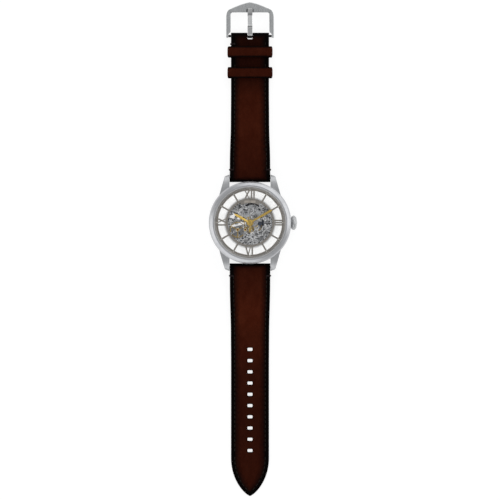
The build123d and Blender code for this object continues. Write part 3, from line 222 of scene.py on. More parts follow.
class Look:
    """A material's node tree, with short names for the steps that the materials share."""

    def __init__(self, name, **values):
        self.material = bpy.data.materials.new(name)
        self.material.use_nodes = True
        self.tree = self.material.node_tree
        self.shader = self.tree.nodes["Principled BSDF"]
        for key, value in values.items():
            self.shader.inputs[key.replace("_", " ")].default_value = value

    def node(self, kind, inputs=(), **settings):
        new = self.tree.nodes.new("ShaderNode" + kind)
        for key, value in settings.items():
            setattr(new, key, value)
        for key, value in dict(inputs).items():
            if isinstance(value, bpy.types.NodeSocket):
                self.tree.links.new(value, new.inputs[key])
            else:
                new.inputs[key].default_value = value
        return new

    def math(self, operation, a, b=0.0):
        return self.node("Math", {0: a, 1: b}, operation=operation).outputs[0]

    def times(self, a, b):
        return self.math("MULTIPLY", a, b)

    def within(self, value, centre, half):
        """1 where a value is less than half from a centre, otherwise 0."""
        off = self.math("ABSOLUTE", self.math("SUBTRACT", value, centre))
        return self.math("LESS_THAN", off, half)

    def xyz(self, vector):
        """A vector's three parts."""
        return self.node("SeparateXYZ", {0: vector}).outputs

    def place(self, stretch=(1, 1, 1)):
        """Position on the watch in millimetres, times a stretch along each axis."""
        scale = tuple(s / MM for s in stretch)
        coords = self.node("TexCoord").outputs["Object"]
        return self.node("VectorMath", {0: coords, 1: scale}, operation="MULTIPLY").outputs[0]

    def round_place(self, centre=(0, 0), around=1.0, outward=1.0):
        """Position as distance round and out from a centre, for turned and circular brushed work."""
        moved = self.node("VectorMath", {0: self.place(), 1: (*centre, 0)}, operation="SUBTRACT").outputs[0]
        x, y, z = self.xyz(moved)
        angle = self.math("ARCTAN2", y, x)
        radius = self.math("SQRT", self.math("ADD", self.math("POWER", x, 2), self.math("POWER", y, 2)))
        values = {0: self.times(angle, around), 1: self.times(radius, outward), 2: z}
        return self.node("CombineXYZ", values).outputs[0]

    def noise(self, vector, scale=1.0, detail=4.0, rough=0.55, distortion=0.0):
        values = {"Vector": vector, "Scale": scale, "Detail": detail, "Roughness": rough,
                  "Distortion": distortion}
        return self.node("TexNoise", values).outputs["Fac"]

    def cells(self, vector, scale=1.0, feature="DISTANCE_TO_EDGE"):
        values = {"Vector": vector, "Scale": scale}
        return self.node("TexVoronoi", values, feature=feature).outputs["Distance"]

    def ramp(self, value, *stops):
        """Colours at positions from 0 to 1, as (position, grey or (r, g, b))."""
        ramp = self.node("ValToRGB", {0: value})
        elements = ramp.color_ramp.elements
        while len(elements) < len(stops):
            elements.new(0.5)
        for element, (position, colour) in zip(elements, stops):
            shade = (colour, colour, colour) if isinstance(colour, (int, float)) else colour
            element.position = position
            element.color = (*shade, 1)
        return ramp.outputs[0]

    def mix(self, share, a, b, blend="MIX"):
        mix = self.tree.nodes.new("ShaderNodeMix")
        mix.data_type = "RGBA"
        mix.blend_type = blend
        for index, value in ((0, share), (6, a), (7, b)):
            if isinstance(value, bpy.types.NodeSocket):
                self.tree.links.new(value, mix.inputs[index])
            else:
                mix.inputs[index].default_value = (*value, 1) if isinstance(value, tuple) else value
        return mix.outputs[2]

    def between(self, value, low, high, to_low=0, to_high=1):
        """A value that goes from to_low to to_high, and no further, as another goes from low to high."""
        values = {"Value": value, "From Min": low, "From Max": high, "To Min": to_low, "To Max": to_high}
        return self.node("MapRange", values).outputs[0]

    def swing(self, pattern, least, most):
        """A value that follows a noise from least to most."""
        return self.between(pattern, NOISE_LOW, NOISE_HIGH, least, most)

    def cloudy(self, pattern, colour, least):
        """The colour, down to its least share where a noise is low."""
        return self.mix(self.swing(pattern, 0, 1), tuple(least * c for c in colour), colour)

    def darken(self, amount, shade, pattern, *stops):
        """A shade multiplied, by some amount, with greys that follow a pattern through the stops."""
        return self.mix(amount, shade, self.ramp(pattern, *stops), "MULTIPLY")

    def stored(self, name):
        """A number that the mesh holds at each point."""
        return self.node("Attribute", attribute_name=name).outputs["Fac"]

    def paint(self, colour, rough=None):
        self.tree.links.new(colour, self.shader.inputs["Base Color"])
        if rough is not None:
            self.tree.links.new(rough, self.shader.inputs["Roughness"])

    def bump(self, height, strength=0.3, depth=0.05, edge=0.0):
        """Relief in millimetres, over edges rounded by a radius in millimetres."""
        values = {"Height": height, "Strength": strength, "Distance": depth * MM}
        if edge:
            values["Normal"] = self.node("Bevel", {"Radius": edge * MM}, samples=4).outputs[0]
        self.tree.links.new(self.node("Bump", values).outputs[0], self.shader.inputs["Normal"])


# ---------------- materials
def brushed_steel(name, colour, rough, stretch, edge=0.12, painted_shade=False):
    """Satin steel, its fine lines short along two axes and long along the third.

    When the mesh carries it, painted shade darkens each point as much as the mesh says.
    """
    look = Look(name, Metallic=1.0, Roughness=rough)
    lines = look.noise(look.place(stretch), 1.0, 3)
    streak = look.noise(look.place((0.9, 0.16, 0.9)), 1.0, 3)
    shade = look.mix(look.between(streak, 0.35, 0.65), tuple(0.86 * c for c in colour), colour)
    shade = look.darken(0.25, shade, lines, (NOISE_LOW, 0.5), (NOISE_HIGH, 1.0))
    # painted shade from the mesh, for the buckle and the prong
    if painted_shade:
        shade = look.darken(1.0, shade, look.stored("shade_tone"), *FULL)
    look.paint(shade, look.swing(lines, rough - 0.05, rough + 0.08))
    look.bump(lines, 0.25, 0.01, edge)
    return look.material


def turned_metal(name, colour, rough, centre=(0, 0), fine=30.0, edge=0.1, worn=0.92):
    """Metal with circular brushing about a centre."""
    look = Look(name, Metallic=1.0, Roughness=rough)
    lines = look.noise(look.round_place(centre, 2.0, fine), 1.0, 2)
    cloud = look.noise(look.place(), 0.3, 3)
    look.paint(look.cloudy(cloud, colour, worn), look.swing(lines, rough - 0.05, rough + 0.08))
    look.bump(lines, 0.2, 0.01, edge)
    return look.material


def engraved_nickel(name, colour, dark, density, shadow_pocket=None):
    """Skeletonised plate work: dark scrolls and pits cut into the metal, and bright beads.

    The last argument is (centre x, centre y, half width, half height) of a pocket painted black as its
    shadow.
    """
    look = Look(name, Metallic=1.0, Roughness=0.34)
    swirl = look.noise(look.place(), density * 0.5, 1.5, 0.5, 0.8)
    scroll = look.math("PINGPONG", look.times(swirl, 11.0), 0.5)
    off_line = look.between(scroll, 0.06, 0.17)
    off_pit = look.between(look.cells(look.place(), 0.75, "F1"), 0.24, 0.36)
    beads = look.between(look.cells(look.place((1, 1, 0.2)), 1.15, "F1"), 0.12, 0.24, 1, 0)
    fine = look.noise(look.place(), 1.6, 3, 0.7)
    shade = look.mix(off_line, dark, colour)
    shade = look.mix(look.times(look.math("SUBTRACT", 1.0, off_pit), 0.95), shade, dark)
    shade = look.darken(0.9, shade, fine, (0.40, 0.15), (0.52, 1.0))
    shade = look.mix(look.times(beads, 0.7), shade, (0.95, 0.96, 0.98))
    # a painted shadow: the pocket is black
    if shadow_pocket:
        centre_x, centre_y, half_x, half_y = shadow_pocket
        x, y, _ = look.xyz(look.place())
        inside = look.times(look.within(x, centre_x, half_x), look.within(y, centre_y, half_y))
        shade = look.mix(inside, shade, (0.012, 0.012, 0.014))
    look.paint(shade, look.swing(fine, 0.24, 0.45))
    look.bump(look.times(off_line, off_pit), 0.5, 0.05, 0.04)
    return look.material


def barrel_metal(name, bright, black, middle):
    """A turned drum: polished, with a painted shadow, black, on its rim on the side away from the watch's
    centre.
    """
    look = Look(name, Metallic=1.0, Roughness=0.3)
    radius = look.xyz(look.round_place(middle))[1]
    lines = look.noise(look.round_place(middle, 2.0, 24.0), 1.0, 2)
    y = look.xyz(look.place())[1]
    # painted shadow on the rim's far side
    far_side = look.between(y, middle[1] - 0.4, middle[1] + 0.9)
    rim = look.times(look.between(radius, 3.3, 3.7), far_side)
    shade = look.mix(rim, bright, black)
    shade = look.darken(0.4, shade, lines, (NOISE_LOW, 0.5), (NOISE_HIGH, 1.0))
    look.paint(shade, look.swing(lines, 0.22, 0.38))
    look.bump(lines, 0.2, 0.01, 0.04)
    return look.material


def leather(name, middle, worn, edge_colour):
    """Smooth leather with painted shade along the straps, and burnished, almost black borders.

    The mesh says how far each point is from the leather's border, and how much painted shade darkens it; the
    keepers are darkened evenly.
    """
    look = Look(name, Roughness=0.5, Specular_IOR_Level=0.02)
    cloud = look.noise(look.place((1, 0.55, 1)), 0.30, 4, 0.6)
    mottle = look.noise(look.place(), 2.2, 5, 0.62)
    grain = look.cells(look.place((1, 0.8, 1)), 2.4)
    pores = look.cells(look.place(), 5.5, "F1")
    shade = look.mix(look.between(cloud, 0.32, 0.68), middle, worn)
    shade = look.darken(0.55, shade, mottle, (NOISE_LOW, 0.45), (NOISE_HIGH, 1.0))
    shade = look.darken(0.45, shade, look.between(grain, 0.0, 0.16), (0, 0.35), (1, 1.0))
    # painted shade along the straps, and an even darkening of the keepers, from the mesh
    shade = look.darken(1.0, shade, look.stored("shade_tone"), *FULL)
    wander = look.math("ADD", look.stored("edge"), look.swing(look.noise(look.place(), 0.8, 3), -0.5, 0.5))
    inner = look.between(wander, 1.8, 5.3)
    look.paint(look.mix(inner, edge_colour, shade), look.swing(mottle, 0.42, 0.6))
    relief = look.math("ADD", look.between(grain, 0, 0.22), look.between(pores, 0.05, 0.3, 0, 0.5))
    relief = look.math("ADD", relief, look.times(mottle, 0.8))
    look.bump(relief, 0.55, 0.07)
    return look.material


def suede(name, colour):
    """The soft lining under the strap."""
    look = Look(name, Roughness=0.85, Specular_IOR_Level=0.15)
    nap = look.noise(look.place(), 5.0, 5, 0.7)
    cloud = look.noise(look.place(), 0.25, 3)
    look.paint(look.darken(0.4, look.cloudy(cloud, colour, 0.75), nap, (NOISE_LOW, 0.4), (NOISE_HIGH, 1.0)))
    look.bump(nap, 0.5, 0.05)
    return look.material


def thread(name, colour):
    """Waxed sewing thread with its twist."""
    look = Look(name, Roughness=0.6, Specular_IOR_Level=0.12)
    wave = {"Vector": look.place(), "Scale": 1.5, "Distortion": 1.0}
    ply = look.node("TexWave", wave, bands_direction="DIAGONAL").outputs["Fac"]
    look.paint(look.mix(ply, tuple(0.5 * c for c in colour), colour))
    look.bump(ply, 0.5, 0.05)
    return look.material


def holder_plastic(colour, alpha, glow, wall):
    """Milky clear plastic whose upper faces glow: painted light for the table's light passing through.

    Painted shade darkens it towards its inner wall, which stands between two radii beside the movement.
    """
    look = Look("clear_holder_painted_glow", Roughness=0.15, Alpha=alpha, Emission_Strength=glow)
    # painted shade at the inner wall, and painted glow on the upper faces away from it
    unshaded_part = look.between(look.xyz(look.round_place())[1], *wall)
    haze = look.noise(look.place(), 0.2, 3)
    shade = look.cloudy(haze, colour, 0.94)
    look.paint(look.mix(unshaded_part, tuple(0.3 * c for c in colour), shade), look.swing(haze, 0.15, 0.2))
    facing_up = look.xyz(look.node("NewGeometry").outputs["Normal"])[2]
    painted_glow_mask = look.ramp(look.times(unshaded_part, look.between(facing_up, 0.0, 0.5)), *FULL)
    look.tree.links.new(painted_glow_mask, look.shader.inputs["Emission Color"])
    return look.material


def clear(name, colour, alpha, rough=0.04):
    """Thin clear glass: what is behind it shows through, with a faint uneven gloss."""
    look = Look(name, Roughness=rough, Alpha=alpha)
    haze = look.noise(look.place(), 0.2, 3)
    look.paint(look.cloudy(haze, colour, 0.94), look.swing(haze, rough, rough + 0.05))
    return look.material


def polished(name, colour, rough=0.16, edge=0.06, metal=1.0):
    """Polished metal or ruby with faint polishing marks."""
    look = Look(name, Metallic=metal, Roughness=rough)
    marks = look.noise(look.place((1, 8, 1)), 1.5, 4)
    look.paint(look.cloudy(marks, colour, 0.86), look.swing(marks, rough, rough + 0.1))
    look.bump(marks, 0.08, 0.02, edge)
    return look.material


def two_tone_hand(gold, pale, start):
    """Gilt hub and tail, and an arm that is bare satin metal from start millimetres on."""
    look = Look("seconds_metal", Metallic=1.0, Roughness=0.4)
    arm = look.between(look.xyz(look.place())[1], start, start + 0.3)
    marks = look.noise(look.place((8, 1, 1)), 1.5, 4)
    shade = look.darken(0.3, look.mix(arm, gold, pale), marks, (NOISE_LOW, 0.6), (NOISE_HIGH, 1.0))
    look.paint(shade, look.swing(marks, 0.32, 0.48))
    look.bump(marks, 0.1, 0.02)
    return look.material


def satin_paint(name, colour, rough=0.45, metal=0.6, plate=None):
    """Fine-grained lacquered metal.

    A plate, (half width, low y, high y, colour), is a blank band in another colour, with soft long edges.
    """
    look = Look(name, Metallic=metal, Roughness=rough)
    grain = look.noise(look.place(), 7.0, 4, 0.6)
    if plate:
        half_wide, low, high, plate_colour = plate
        soft = 0.2
        x, y, _ = look.xyz(look.place())
        across = look.within(x, 0, half_wide)
        above = look.between(y, low, low + soft)
        below = look.between(y, high - soft, high, 1, 0)
        inside = look.times(across, look.times(above, below))
        colour = look.mix(inside, colour, plate_colour)
        dark = look.mix(1.0, colour, (0.8, 0.8, 0.8), "MULTIPLY")
    else:
        dark = tuple(0.8 * c for c in colour)
    shade = look.mix(look.swing(grain, 0, 1), dark, colour)
    look.paint(shade, look.swing(grain, rough - 0.08, rough + 0.08))
    look.bump(grain, 0.25, 0.02, 0.05)
    return look.material


def table_top():
    """The pale surface under the watch, which gives off light like a light table."""
    look = Look("table_white", Roughness=0.7, Specular_IOR_Level=0.2, Emission_Color=(1, 1, 1, 1),
                Emission_Strength=0.86)
    tooth = look.noise(look.place(), 0.4, 4)
    look.paint(look.ramp(tooth, (0.2, (0.18, 0.18, 0.18)), (0.8, (0.21, 0.21, 0.21))))
    return look.material


STEEL_BUCKLE = brushed_steel("steel_buckle", (0.67, 0.68, 0.685), 0.24, (9.0, 0.4, 9.0), 0.12, painted_shade=True)
# white, the buckle's steel lit up: a painted highlight on the prong's raised flat, with painted shade from
# the mesh elsewhere
STEEL_TONGUE_HIGHLIT = brushed_steel("steel_tongue_highlit", (1.0, 1.0, 1.0), 0.22, (9.0, 0.4, 9.0), 0.1, painted_shade=True)
GOLD = polished("gold_hands", (0.78, 0.53, 0.13), 0.25, 0.03)
SETTING_GILT = polished("gilt_settings", (0.90, 0.66, 0.22), 0.3, 0.02)
TRACK = satin_paint("track_print", (0.62, 0.59, 0.54), 0.5, 0.2)
LEATHER = leather("brown_leather", (0.060, 0.0086, 0.0026), (0.080, 0.0141, 0.0052),
                  (0.0012, 0.0005, 0.0004))
LINING = suede("strap_lining", (0.10, 0.055, 0.03))
THREAD = thread("brown_thread", (0.014, 0.009, 0.006))
THREAD_DARK = thread("edge_thread", (0.016, 0.009, 0.010))

NODE_LOOKS = {
    brushed_steel("steel_case", (0.50, 0.505, 0.515), 0.36, (9.0, 0.35, 9.0), 0.18):
        ["mid_case", "crown_tube"],
    turned_metal("steel_bezel", (0.52, 0.525, 0.54), 0.33, fine=14.0, edge=0.15): ["bezel"],
    polished("steel_crown", (0.50, 0.505, 0.51), 0.24, 0.1): ["crown"],
    turned_metal("steel_back", (0.60, 0.60, 0.61), 0.28, fine=14.0): ["case_back"],
    polished("steel_fine", (0.55, 0.55, 0.56), 0.2):
        ["stem", "lug_spring_bars", "pallet_fork", "pallet_bridge", "regulator", "rotor_bearing",
         "crown_wheel", "ratchet_wheel", "click", "winding_pinion", "clutch_wheel", "setting_lever",
         "yoke", "minute_wheel", "cannon_pinion", "barrel_arbor", "hairspring", "mainspring"],
    polished("steel_dark", (0.10, 0.11, 0.14), 0.25): ["movement_screws", "setting_wheel"],
    # near black: painted shade where the spring bar shows under the tongue's roll
    polished("steel_bar_painted_shade", (0.04, 0.04, 0.042), 0.4): ["buckle_spring_bar"],
    turned_metal("gilt_wheels", (0.78, 0.55, 0.20), 0.26, fine=40.0, edge=0.03, worn=0.8):
        ["centre_wheel", "third_wheel", "fourth_wheel", "escape_wheel", "hour_wheel", "reversing_wheel",
         "reduction_wheel"],
    turned_metal("gilt_balance", (0.80, 0.56, 0.20), 0.26, BALANCE, 40.0, 0.03, 0.8): ["balance_wheel"],
    # the drum's rim carries a black painted shadow
    barrel_metal("barrel_steel", (0.80, 0.81, 0.82), (0.03, 0.03, 0.035), BARREL):
        ["barrel_drum", "barrel_cover"],
    engraved_nickel("engraved_plate", (1.0, 1.0, 1.0), (0.045, 0.045, 0.055), 0.85): ["main_plate"],
    # the bridges' pocket near the stem is painted black as its shadow
    engraved_nickel("engraved_bridge", (1.0, 1.0, 1.0), (0.035, 0.035, 0.045), 1.0, (7.2, 0.0, 1.3, 1.6)):
        ["barrel_bridge", "train_bridge", "balance_cock", "automatic_bridge"],
    turned_metal("rotor_metal", (0.45, 0.45, 0.46), 0.3, fine=9.0): ["rotor"],
    satin_paint("dial_metal", (0.355, 0.325, 0.29), plate=(3.0, 10.55, 11.95, (0.60, 0.54, 0.475))):
        ["dial"],
    satin_paint("rehaut_metal", (0.60, 0.585, 0.57), 0.35, 0.8): ["rehaut_ring"],
    two_tone_hand((0.68, 0.48, 0.13), (0.30, 0.29, 0.27), 1.25): ["seconds_hand"],
    satin_paint("hour_dot_paint", (0.82, 0.80, 0.74), 0.5, 0.0): ["hour_markers"],
    polished("ruby", (0.14, 0.004, 0.016), 0.12, 0.03, 0.0): ["jewels"],
    satin_paint("seal_rubber", (0.025, 0.025, 0.027), 0.6, 0.0): ["back_gasket"],
    satin_paint("seal_nylon", (0.80, 0.80, 0.80), 0.5, 0.0): ["crystal_gasket"],
    clear("crystal_glass", (0.10, 0.11, 0.12), 0.04): ["crystal"],
    clear("back_glass", (0.10, 0.11, 0.12), 0.05): ["back_crystal"],
    # painted glow and painted shade on the holder
    holder_plastic((0.96, 0.96, 0.95), 0.55, 0.60, (12.9, 14.1)): ["movement_holder"],
}


def paint_nodes():
    """Every CAD node that stays visible takes its material."""
    for material, nodes in NODE_LOOKS.items():
        for node in nodes:
            mesh = frame["nodes"][node].data
            mesh.materials.clear()
            mesh.materials.append(material)


# ---------------- strap
class Half:
    """One half of the strap: its width, its side profile and its ends. Y runs outwards from the lug bar.

    Half widths, top and bottom heights and the painted shade along the strap are (y, value) tables. The end
    closes over end_height.
    """

    def __init__(self, sign, widths, tops, bottoms, shade_tones, end, end_height):
        self.sign, self.widths, self.tops, self.bottoms, self.shade_tones = sign, widths, tops, bottoms, shade_tones
        self.end, self.end_height = end, end_height

    def half_width(self, y):
        return between(self.widths, y)

    def top_bottom(self, y):
        """Top and bottom heights, folded round the lug bar at one end and closed at the other."""
        top, bottom = between(self.tops, y), between(self.bottoms, y)
        if y < BAR_Y:
            rise = NOSE_R * sqrt(max(0.0, 1 - ((BAR_Y - y) / NOSE_REACH) ** 2))
            return BAR_Z + rise, BAR_Z - rise
        reach = self.end_height
        if y > self.end - reach:
            share = sqrt(max(0.0, 1 - ((y - self.end + reach) / reach) ** 2))
            middle = (top + bottom) / 2
            return middle + (top - middle) * share, middle + (bottom - middle) * share
        return top, bottom

    def border(self, x, y):
        """Distance from the nearest edge of the leather, stretched a little at its ends."""
        y, step = abs(y), 0.2
        slope = (self.half_width(y + step) - self.half_width(y - step)) / (2 * step)
        side = (self.half_width(y) - abs(x)) / hypot(1, slope)
        return min(side, (y - BAR_Y + NOSE_REACH) * 1.6 + 0.4, (self.end - y) * 1.4)

    def crown(self, x, y):
        """How far the top falls from its middle: a padded centre, a sewn channel and a thinner border."""
        pad, flat_border, slope_width = 0.62, 1.2, 3.2
        channel_depth, channel_half = 0.16, 0.45
        inwards = self.border(x, y)
        fade = smoothstep((y - BAR_Y - 1) / 4)
        drop = pad * (1 - smoothstep((inwards - flat_border) / slope_width)) * fade
        channel = channel_depth * max(0.0, 1 - abs(inwards - STITCH_INSET) / channel_half) * fade
        return drop + channel

    def stations(self):
        """The y of each ring: close together round both ends, 0.7 mm apart between them."""
        nose = [BAR_Y - NOSE_REACH * cos(radians(a)) for a in range(0, 90, 9)]
        tail = [self.end - self.end_height * (1 - sin(radians(a))) for a in range(0, 91, 9)]
        count = int((tail[0] - BAR_Y) / 0.7)
        run = [BAR_Y + (tail[0] - BAR_Y) * k / count for k in range(count)]
        return nose + run + tail

    def shape(self):
        """The leather as rings across the strap."""
        rounding, across, seam = 0.55, 56, 0.42  # edge radius, steps, height of the side seam
        steps = [sin(pi / 2 * sin(pi / 2 * (2 * k / across - 1))) for k in range(across + 1)]
        rings = []
        for y in self.stations():
            width = max(0.06, self.half_width(y))
            top, bottom = self.top_bottom(y)
            middle = bottom + (top - bottom) * seam
            upper, lower = [], []
            for u in steps:
                x = u * width
                inside = min(1.0, (width - abs(x)) / rounding)
                lift = sqrt(max(0.0, 1 - (1 - inside) ** 2))
                crest = max(middle, self.top_at(x, y))
                upper.append((x, self.sign * y, middle + (crest - middle) * lift))
                lower.append((x, self.sign * y, middle + (bottom - middle) * lift))
            rings.append(upper + lower[-2:0:-1])
        return skin(rings)

    def top_at(self, x, y):
        """Height of the top, which is crowned less where the leather is thin."""
        top, bottom = self.top_bottom(y)
        full_padding = 1.5
        return top - self.crown(x, y) * min(1.0, (top - bottom) / full_padding)


BUCKLE_HALF = Half(
    1,
    [(22, LUG_HALF), (31, LUG_HALF - 0.05), (54, TAPER_HALF + 0.1), (70, TAPER_HALF), (110, TAPER_HALF)],
    [(24.1, 5.25), (44, 4.5), (64, 3.75), (99, 3.62), (105, 3.6)],
    [(24.1, 1.55), (40, 1.14), (62, 1.12), (105, 1.1)],
    # painted shade along the strap, darkest over its creases towards the buckle end
    [(24, 0.55), (36, 0.66), (56, 0.8), (66, 0.72), (77, 0.42), (86, 0.3), (98, 0.24)],
    STRAP_END, 1.2,
)
TIP_HALF = Half(
    -1,
    [(22, LUG_HALF), (32, LUG_HALF - 0.05), (60, TAPER_HALF + 0.1), (76, TAPER_HALF), (125, TAPER_HALF)],
    [(24.1, 5.25), (44, 4.05), (66, 2.72), (120, 2.45), (147, 2.25)],
    [(24.1, 1.55), (44, 0.55), (62, 0.02), (147, 0.02)],
    # painted shade along the strap
    [(24, 0.6), (30, 0.7), (48, 1.0), (64, 0.76), (84, 0.52), (104, 0.46), (135, 0.52)],
    -STRAP_TIP, 1.0,
)


def tip_width(y):
    """Half width of the pointed end: parallel sides that curve in to a blunt point."""
    start = TIP_HALF.end - POINT_LENGTH
    if y <= start:
        return between(TIP_HALF.widths, y)
    t = min(1.0, (y - start) / (TIP_HALF.end - start))
    return TAPER_HALF * (1 - t**2.05) ** 0.74


TIP_HALF.half_width = tip_width


def cut(obj, cutters):
    """Takes the cutters, one mesh of separate blocks, out of obj and keeps the result as its mesh."""
    tool = mesh_object("cutter", cutters, smooth=False)
    modifier = obj.modifiers.new("cut", "BOOLEAN")
    modifier.operation = "DIFFERENCE"
    modifier.solver = "EXACT"
    modifier.object = tool
    depsgraph = bpy.context.evaluated_depsgraph_get()
    result = bpy.data.meshes.new_from_object(obj.evaluated_get(depsgraph))
    obj.modifiers.clear()
    obj.data = result
    bpy.data.objects.remove(tool)


def rounded_block(x, y, half_x, half_y, corner, low, high):
    """An upright block with rounded corners, for a punched hole or a slot."""
    rings = []
    for z in (low, high):
        ring = []
        for quarter, (sx, sy) in enumerate(((1, 1), (-1, 1), (-1, -1), (1, -1))):
            for k in range(5):
                a = radians(90 * quarter + 22.5 * k)
                ring.append((x + sx * (half_x - corner) + corner * cos(a),
                             y + sy * (half_y - corner) + corner * sin(a), z))
        rings.append(ring)
    return skin(rings)


def describe(obj, name, value_at):
    """Stores a number at each point of the object, worked out from its x and y, for its material."""
    values = [value_at(v.co.x / MM, v.co.y / MM) for v in obj.data.vertices]
    obj.data.attributes.new(name, "FLOAT", "POINT").data.foreach_set("value", values)


def strap_leather(name, half, body, node, cutters, edge_at):
    """A strap half in leather, lined where it faces down, with its holes cut."""
    obj = piece(name, half.shape(), body, LEATHER, LINING, angle=50)
    cut(obj, cutters)
    describe(obj, "edge", edge_at)
    # painted shade along the strap's length
    describe(obj, "shade_tone", lambda x, y: between(half.shade_tones, abs(y)))
    for face in obj.data.polygons:
        corner = obj.data.vertices[face.vertices[0]].co
        under = face.normal.z < -0.6 and half.border(corner.x / MM, corner.y / MM) > 1.0
        face.material_index = 1 if under else 0
    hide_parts(node)


def hole_halo(x, y):
    """Distance from the nearest punched hole, as if its rim were an edge of the leather."""
    index = min(HOLES - 1, max(0, round((FIRST_HOLE - y) / HOLE_PITCH)))
    dx, dy = abs(x) - HOLE_HALF[0], abs(y - (FIRST_HOLE - index * HOLE_PITCH)) - HOLE_HALF[1]
    burnish_start, burnish_rate = 1.8, 6.5
    return hypot(max(dx, 0), max(dy, 0)) * burnish_rate + burnish_start


def stitch_row(half, side, start, end):
    """Stitches along one side."""
    stitches = []
    y = start
    while y < end:
        points = []
        for place in (y, y + STITCH_PITCH * 0.5):
            x = half.half_width(place) - STITCH_INSET
            points.append((side * x, half.sign * place, half.top_at(x, place) + STITCH_LIFT))
        stitches.append(capsule(*points, STITCH_R))
        y += STITCH_PITCH
    return stitches


def tip_stitches(half, start):
    """Stitches that follow the point of the strap at an even distance from its edge."""
    steps = 400
    heights = [start + (half.end - start) * k / steps for k in range(steps + 1)]
    outline = [(half.half_width(y), y) for y in heights]
    inner = []
    for (x0, y0), (x1, y1) in zip(outline, outline[1:]):
        length = hypot(x1 - x0, y1 - y0)
        x, y = x0 - STITCH_INSET * (y1 - y0) / length, y0 + STITCH_INSET * (x1 - x0) / length
        if x > 0 and (not inner or y > inner[-1][1]):
            inner.append((x, y))
    stitches, run = [], 0.0
    begin = None
    for (x0, y0), (x1, y1) in zip(inner, inner[1:]):
        run += hypot(x1 - x0, y1 - y0)
        if begin is None and run >= STITCH_PITCH * 0.5:
            begin = (x0, y0)
        if run >= STITCH_PITCH:
            for side in (1, -1):
                ends = [(side * x, -y, half.top_at(x, y) + STITCH_LIFT) for x, y in (begin, (x1, y1))]
                stitches.append(capsule(*ends, STITCH_R))
            run, begin = 0.0, None
    return stitches


def bar_tack(half, y, sides):
    """Thread wrapped twice over the strap's edge."""
    width = half.half_width(y)
    top, bottom = half.top_bottom(y)
    middle = (top + bottom) / 2
    path = [(width - 2.3, half.top_at(width - 2.3, y) - 0.1)]
    path += [(width - 1.9, half.top_at(width - 1.9, y) + 0.14)]
    path += [(width - 0.3, half.top_at(width - 0.4, y) + 0.12), (width + 0.22, middle + 0.5)]
    path += [(width + 0.22, middle - 0.5), (width - 0.4, bottom - 0.05), (width - 2, bottom - 0.05)]
    tacks = []
    for side in sides:
        for shift in (-0.18, 0.18):
            place = half.sign * (y + shift)
            tacks.append(tube([(side * x, place, z) for x, z in path], 0.26))
    return tacks


def make_straps():
    """Both halves with the tongue's slot, the holes, the stitching and the bar tacks."""
    slot = rounded_block(0, STRAP_END + 0.2, *SLOT_HALF, 0.6, -1, 8)
    strap_leather("strap_upper", BUCKLE_HALF, "strap_12", "strap_buckle_side", slot, BUCKLE_HALF.border)
    holes = [rounded_block(0, FIRST_HOLE - k * HOLE_PITCH, *HOLE_HALF, 0.5, -1, 5) for k in range(HOLES)]
    strap_leather("strap_lower", TIP_HALF, "strap_6", "strap_tip_side", merge(holes),
                  lambda x, y: min(TIP_HALF.border(x, y), hole_halo(x, y)))
    first_stitch, first_tack = BAR_Y + TACK_GAP + 0.2, BAR_Y + TACK_GAP
    upper, lower = [], tip_stitches(TIP_HALF, TIP_ROW_START)
    for side in (1, -1):
        upper += stitch_row(BUCKLE_HALF, side, first_stitch, UPPER_ROW_END)
        upper += stitch_row(BUCKLE_HALF, side, KEEPER_STITCH, KEEPER_STITCH_END)
        lower += stitch_row(TIP_HALF, side, first_stitch, LOWER_ROW_END)
    upper_tacks = bar_tack(BUCKLE_HALF, first_tack, (1, -1)) + bar_tack(BUCKLE_HALF, KEEPER_TACK, (-1,))
    lower_tacks = bar_tack(TIP_HALF, first_tack, (1, -1))
    for name, stitches, body, material in (("stitches_upper", upper, "strap_12", THREAD),
                                           ("stitches_lower", lower, "strap_6", THREAD),
                                           ("tacks_upper", upper_tacks, "strap_12", THREAD_DARK),
                                           ("tacks_lower", lower_tacks, "strap_6", THREAD_DARK)):
        piece(name, merge(stitches), body, material)


def keeper_loop(name, node, body):
    """A leather loop with rounded, burnished edges and a slightly sprung top."""
    thick, corner, bow_height = 0.5, 1.3, 0.25  # half its thickness, its corners' radius, the top's rise
    low, high = low_high(node)
    half_x, half_z = (high[0] - low[0]) / 2 - thick, (high[2] - low[2]) / 2 - thick
    centre_y, centre_z = (low[1] + high[1]) / 2, (low[2] + high[2]) / 2
    half_y = (high[1] - low[1]) / 2
    section = []
    for k in range(24):
        a = 2 * pi * k / 24
        u, v = cos(a), sin(a)
        reach = max(abs(u), abs(v)) ** 0.75
        section.append((u * half_y / reach if abs(u) < 0.98 else u * half_y, v * thick / max(0.35, reach)))
    rings, loop = [], []
    for quarter, (sx, sz) in enumerate(((1, 1), (-1, 1), (-1, -1), (1, -1))):
        for k in range(9):
            a = radians(90 * quarter + 90 * k / 8)
            loop.append((sx * (half_x - corner) + corner * cos(a), sz * (half_z - corner) + corner * sin(a),
                         cos(a), sin(a)))
        if quarter % 2 == 0:
            for k in range(1, 16):
                x = sx * (half_x - corner) * (1 - 2 * k / 16)
                bow = bow_height * (1 - (x / half_x) ** 2) if sz > 0 else 0.0
                loop.append((x, sz * half_z + bow - bow_height * (sz > 0), 0, sz))
    for x, z, nx, nz in loop:
        ring = []
        for y, t in section:
            flat = min(1.0, max(-1.0, t / thick)) * thick
            taper = 1 - 0.55 * smoothstep((abs(y) - half_y + 0.7) / 0.7)
            ring.append((x + nx * flat * taper, centre_y + y, centre_z + z + nz * flat * taper))
        rings.append(ring)
    rings.append(rings[0])
    obj = piece(name, skin(rings, caps=False), body, LEATHER)
    describe(obj, "edge", lambda x, y: min(5.5, (half_y - abs(y - centre_y)) * 3.6 + 0.8))
    describe(obj, "shade_tone", lambda x, y: 0.62)
    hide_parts(node)


# ---------------- buckle
WINDOW_X, BRIDGE_Y = 10.35, 112.75  # the frame's opening: half its width, and its far edge
DOME_BEND, DOME_POWER = 0.143, 1.375  # the outer edge falls from its crest by bend times x to the power


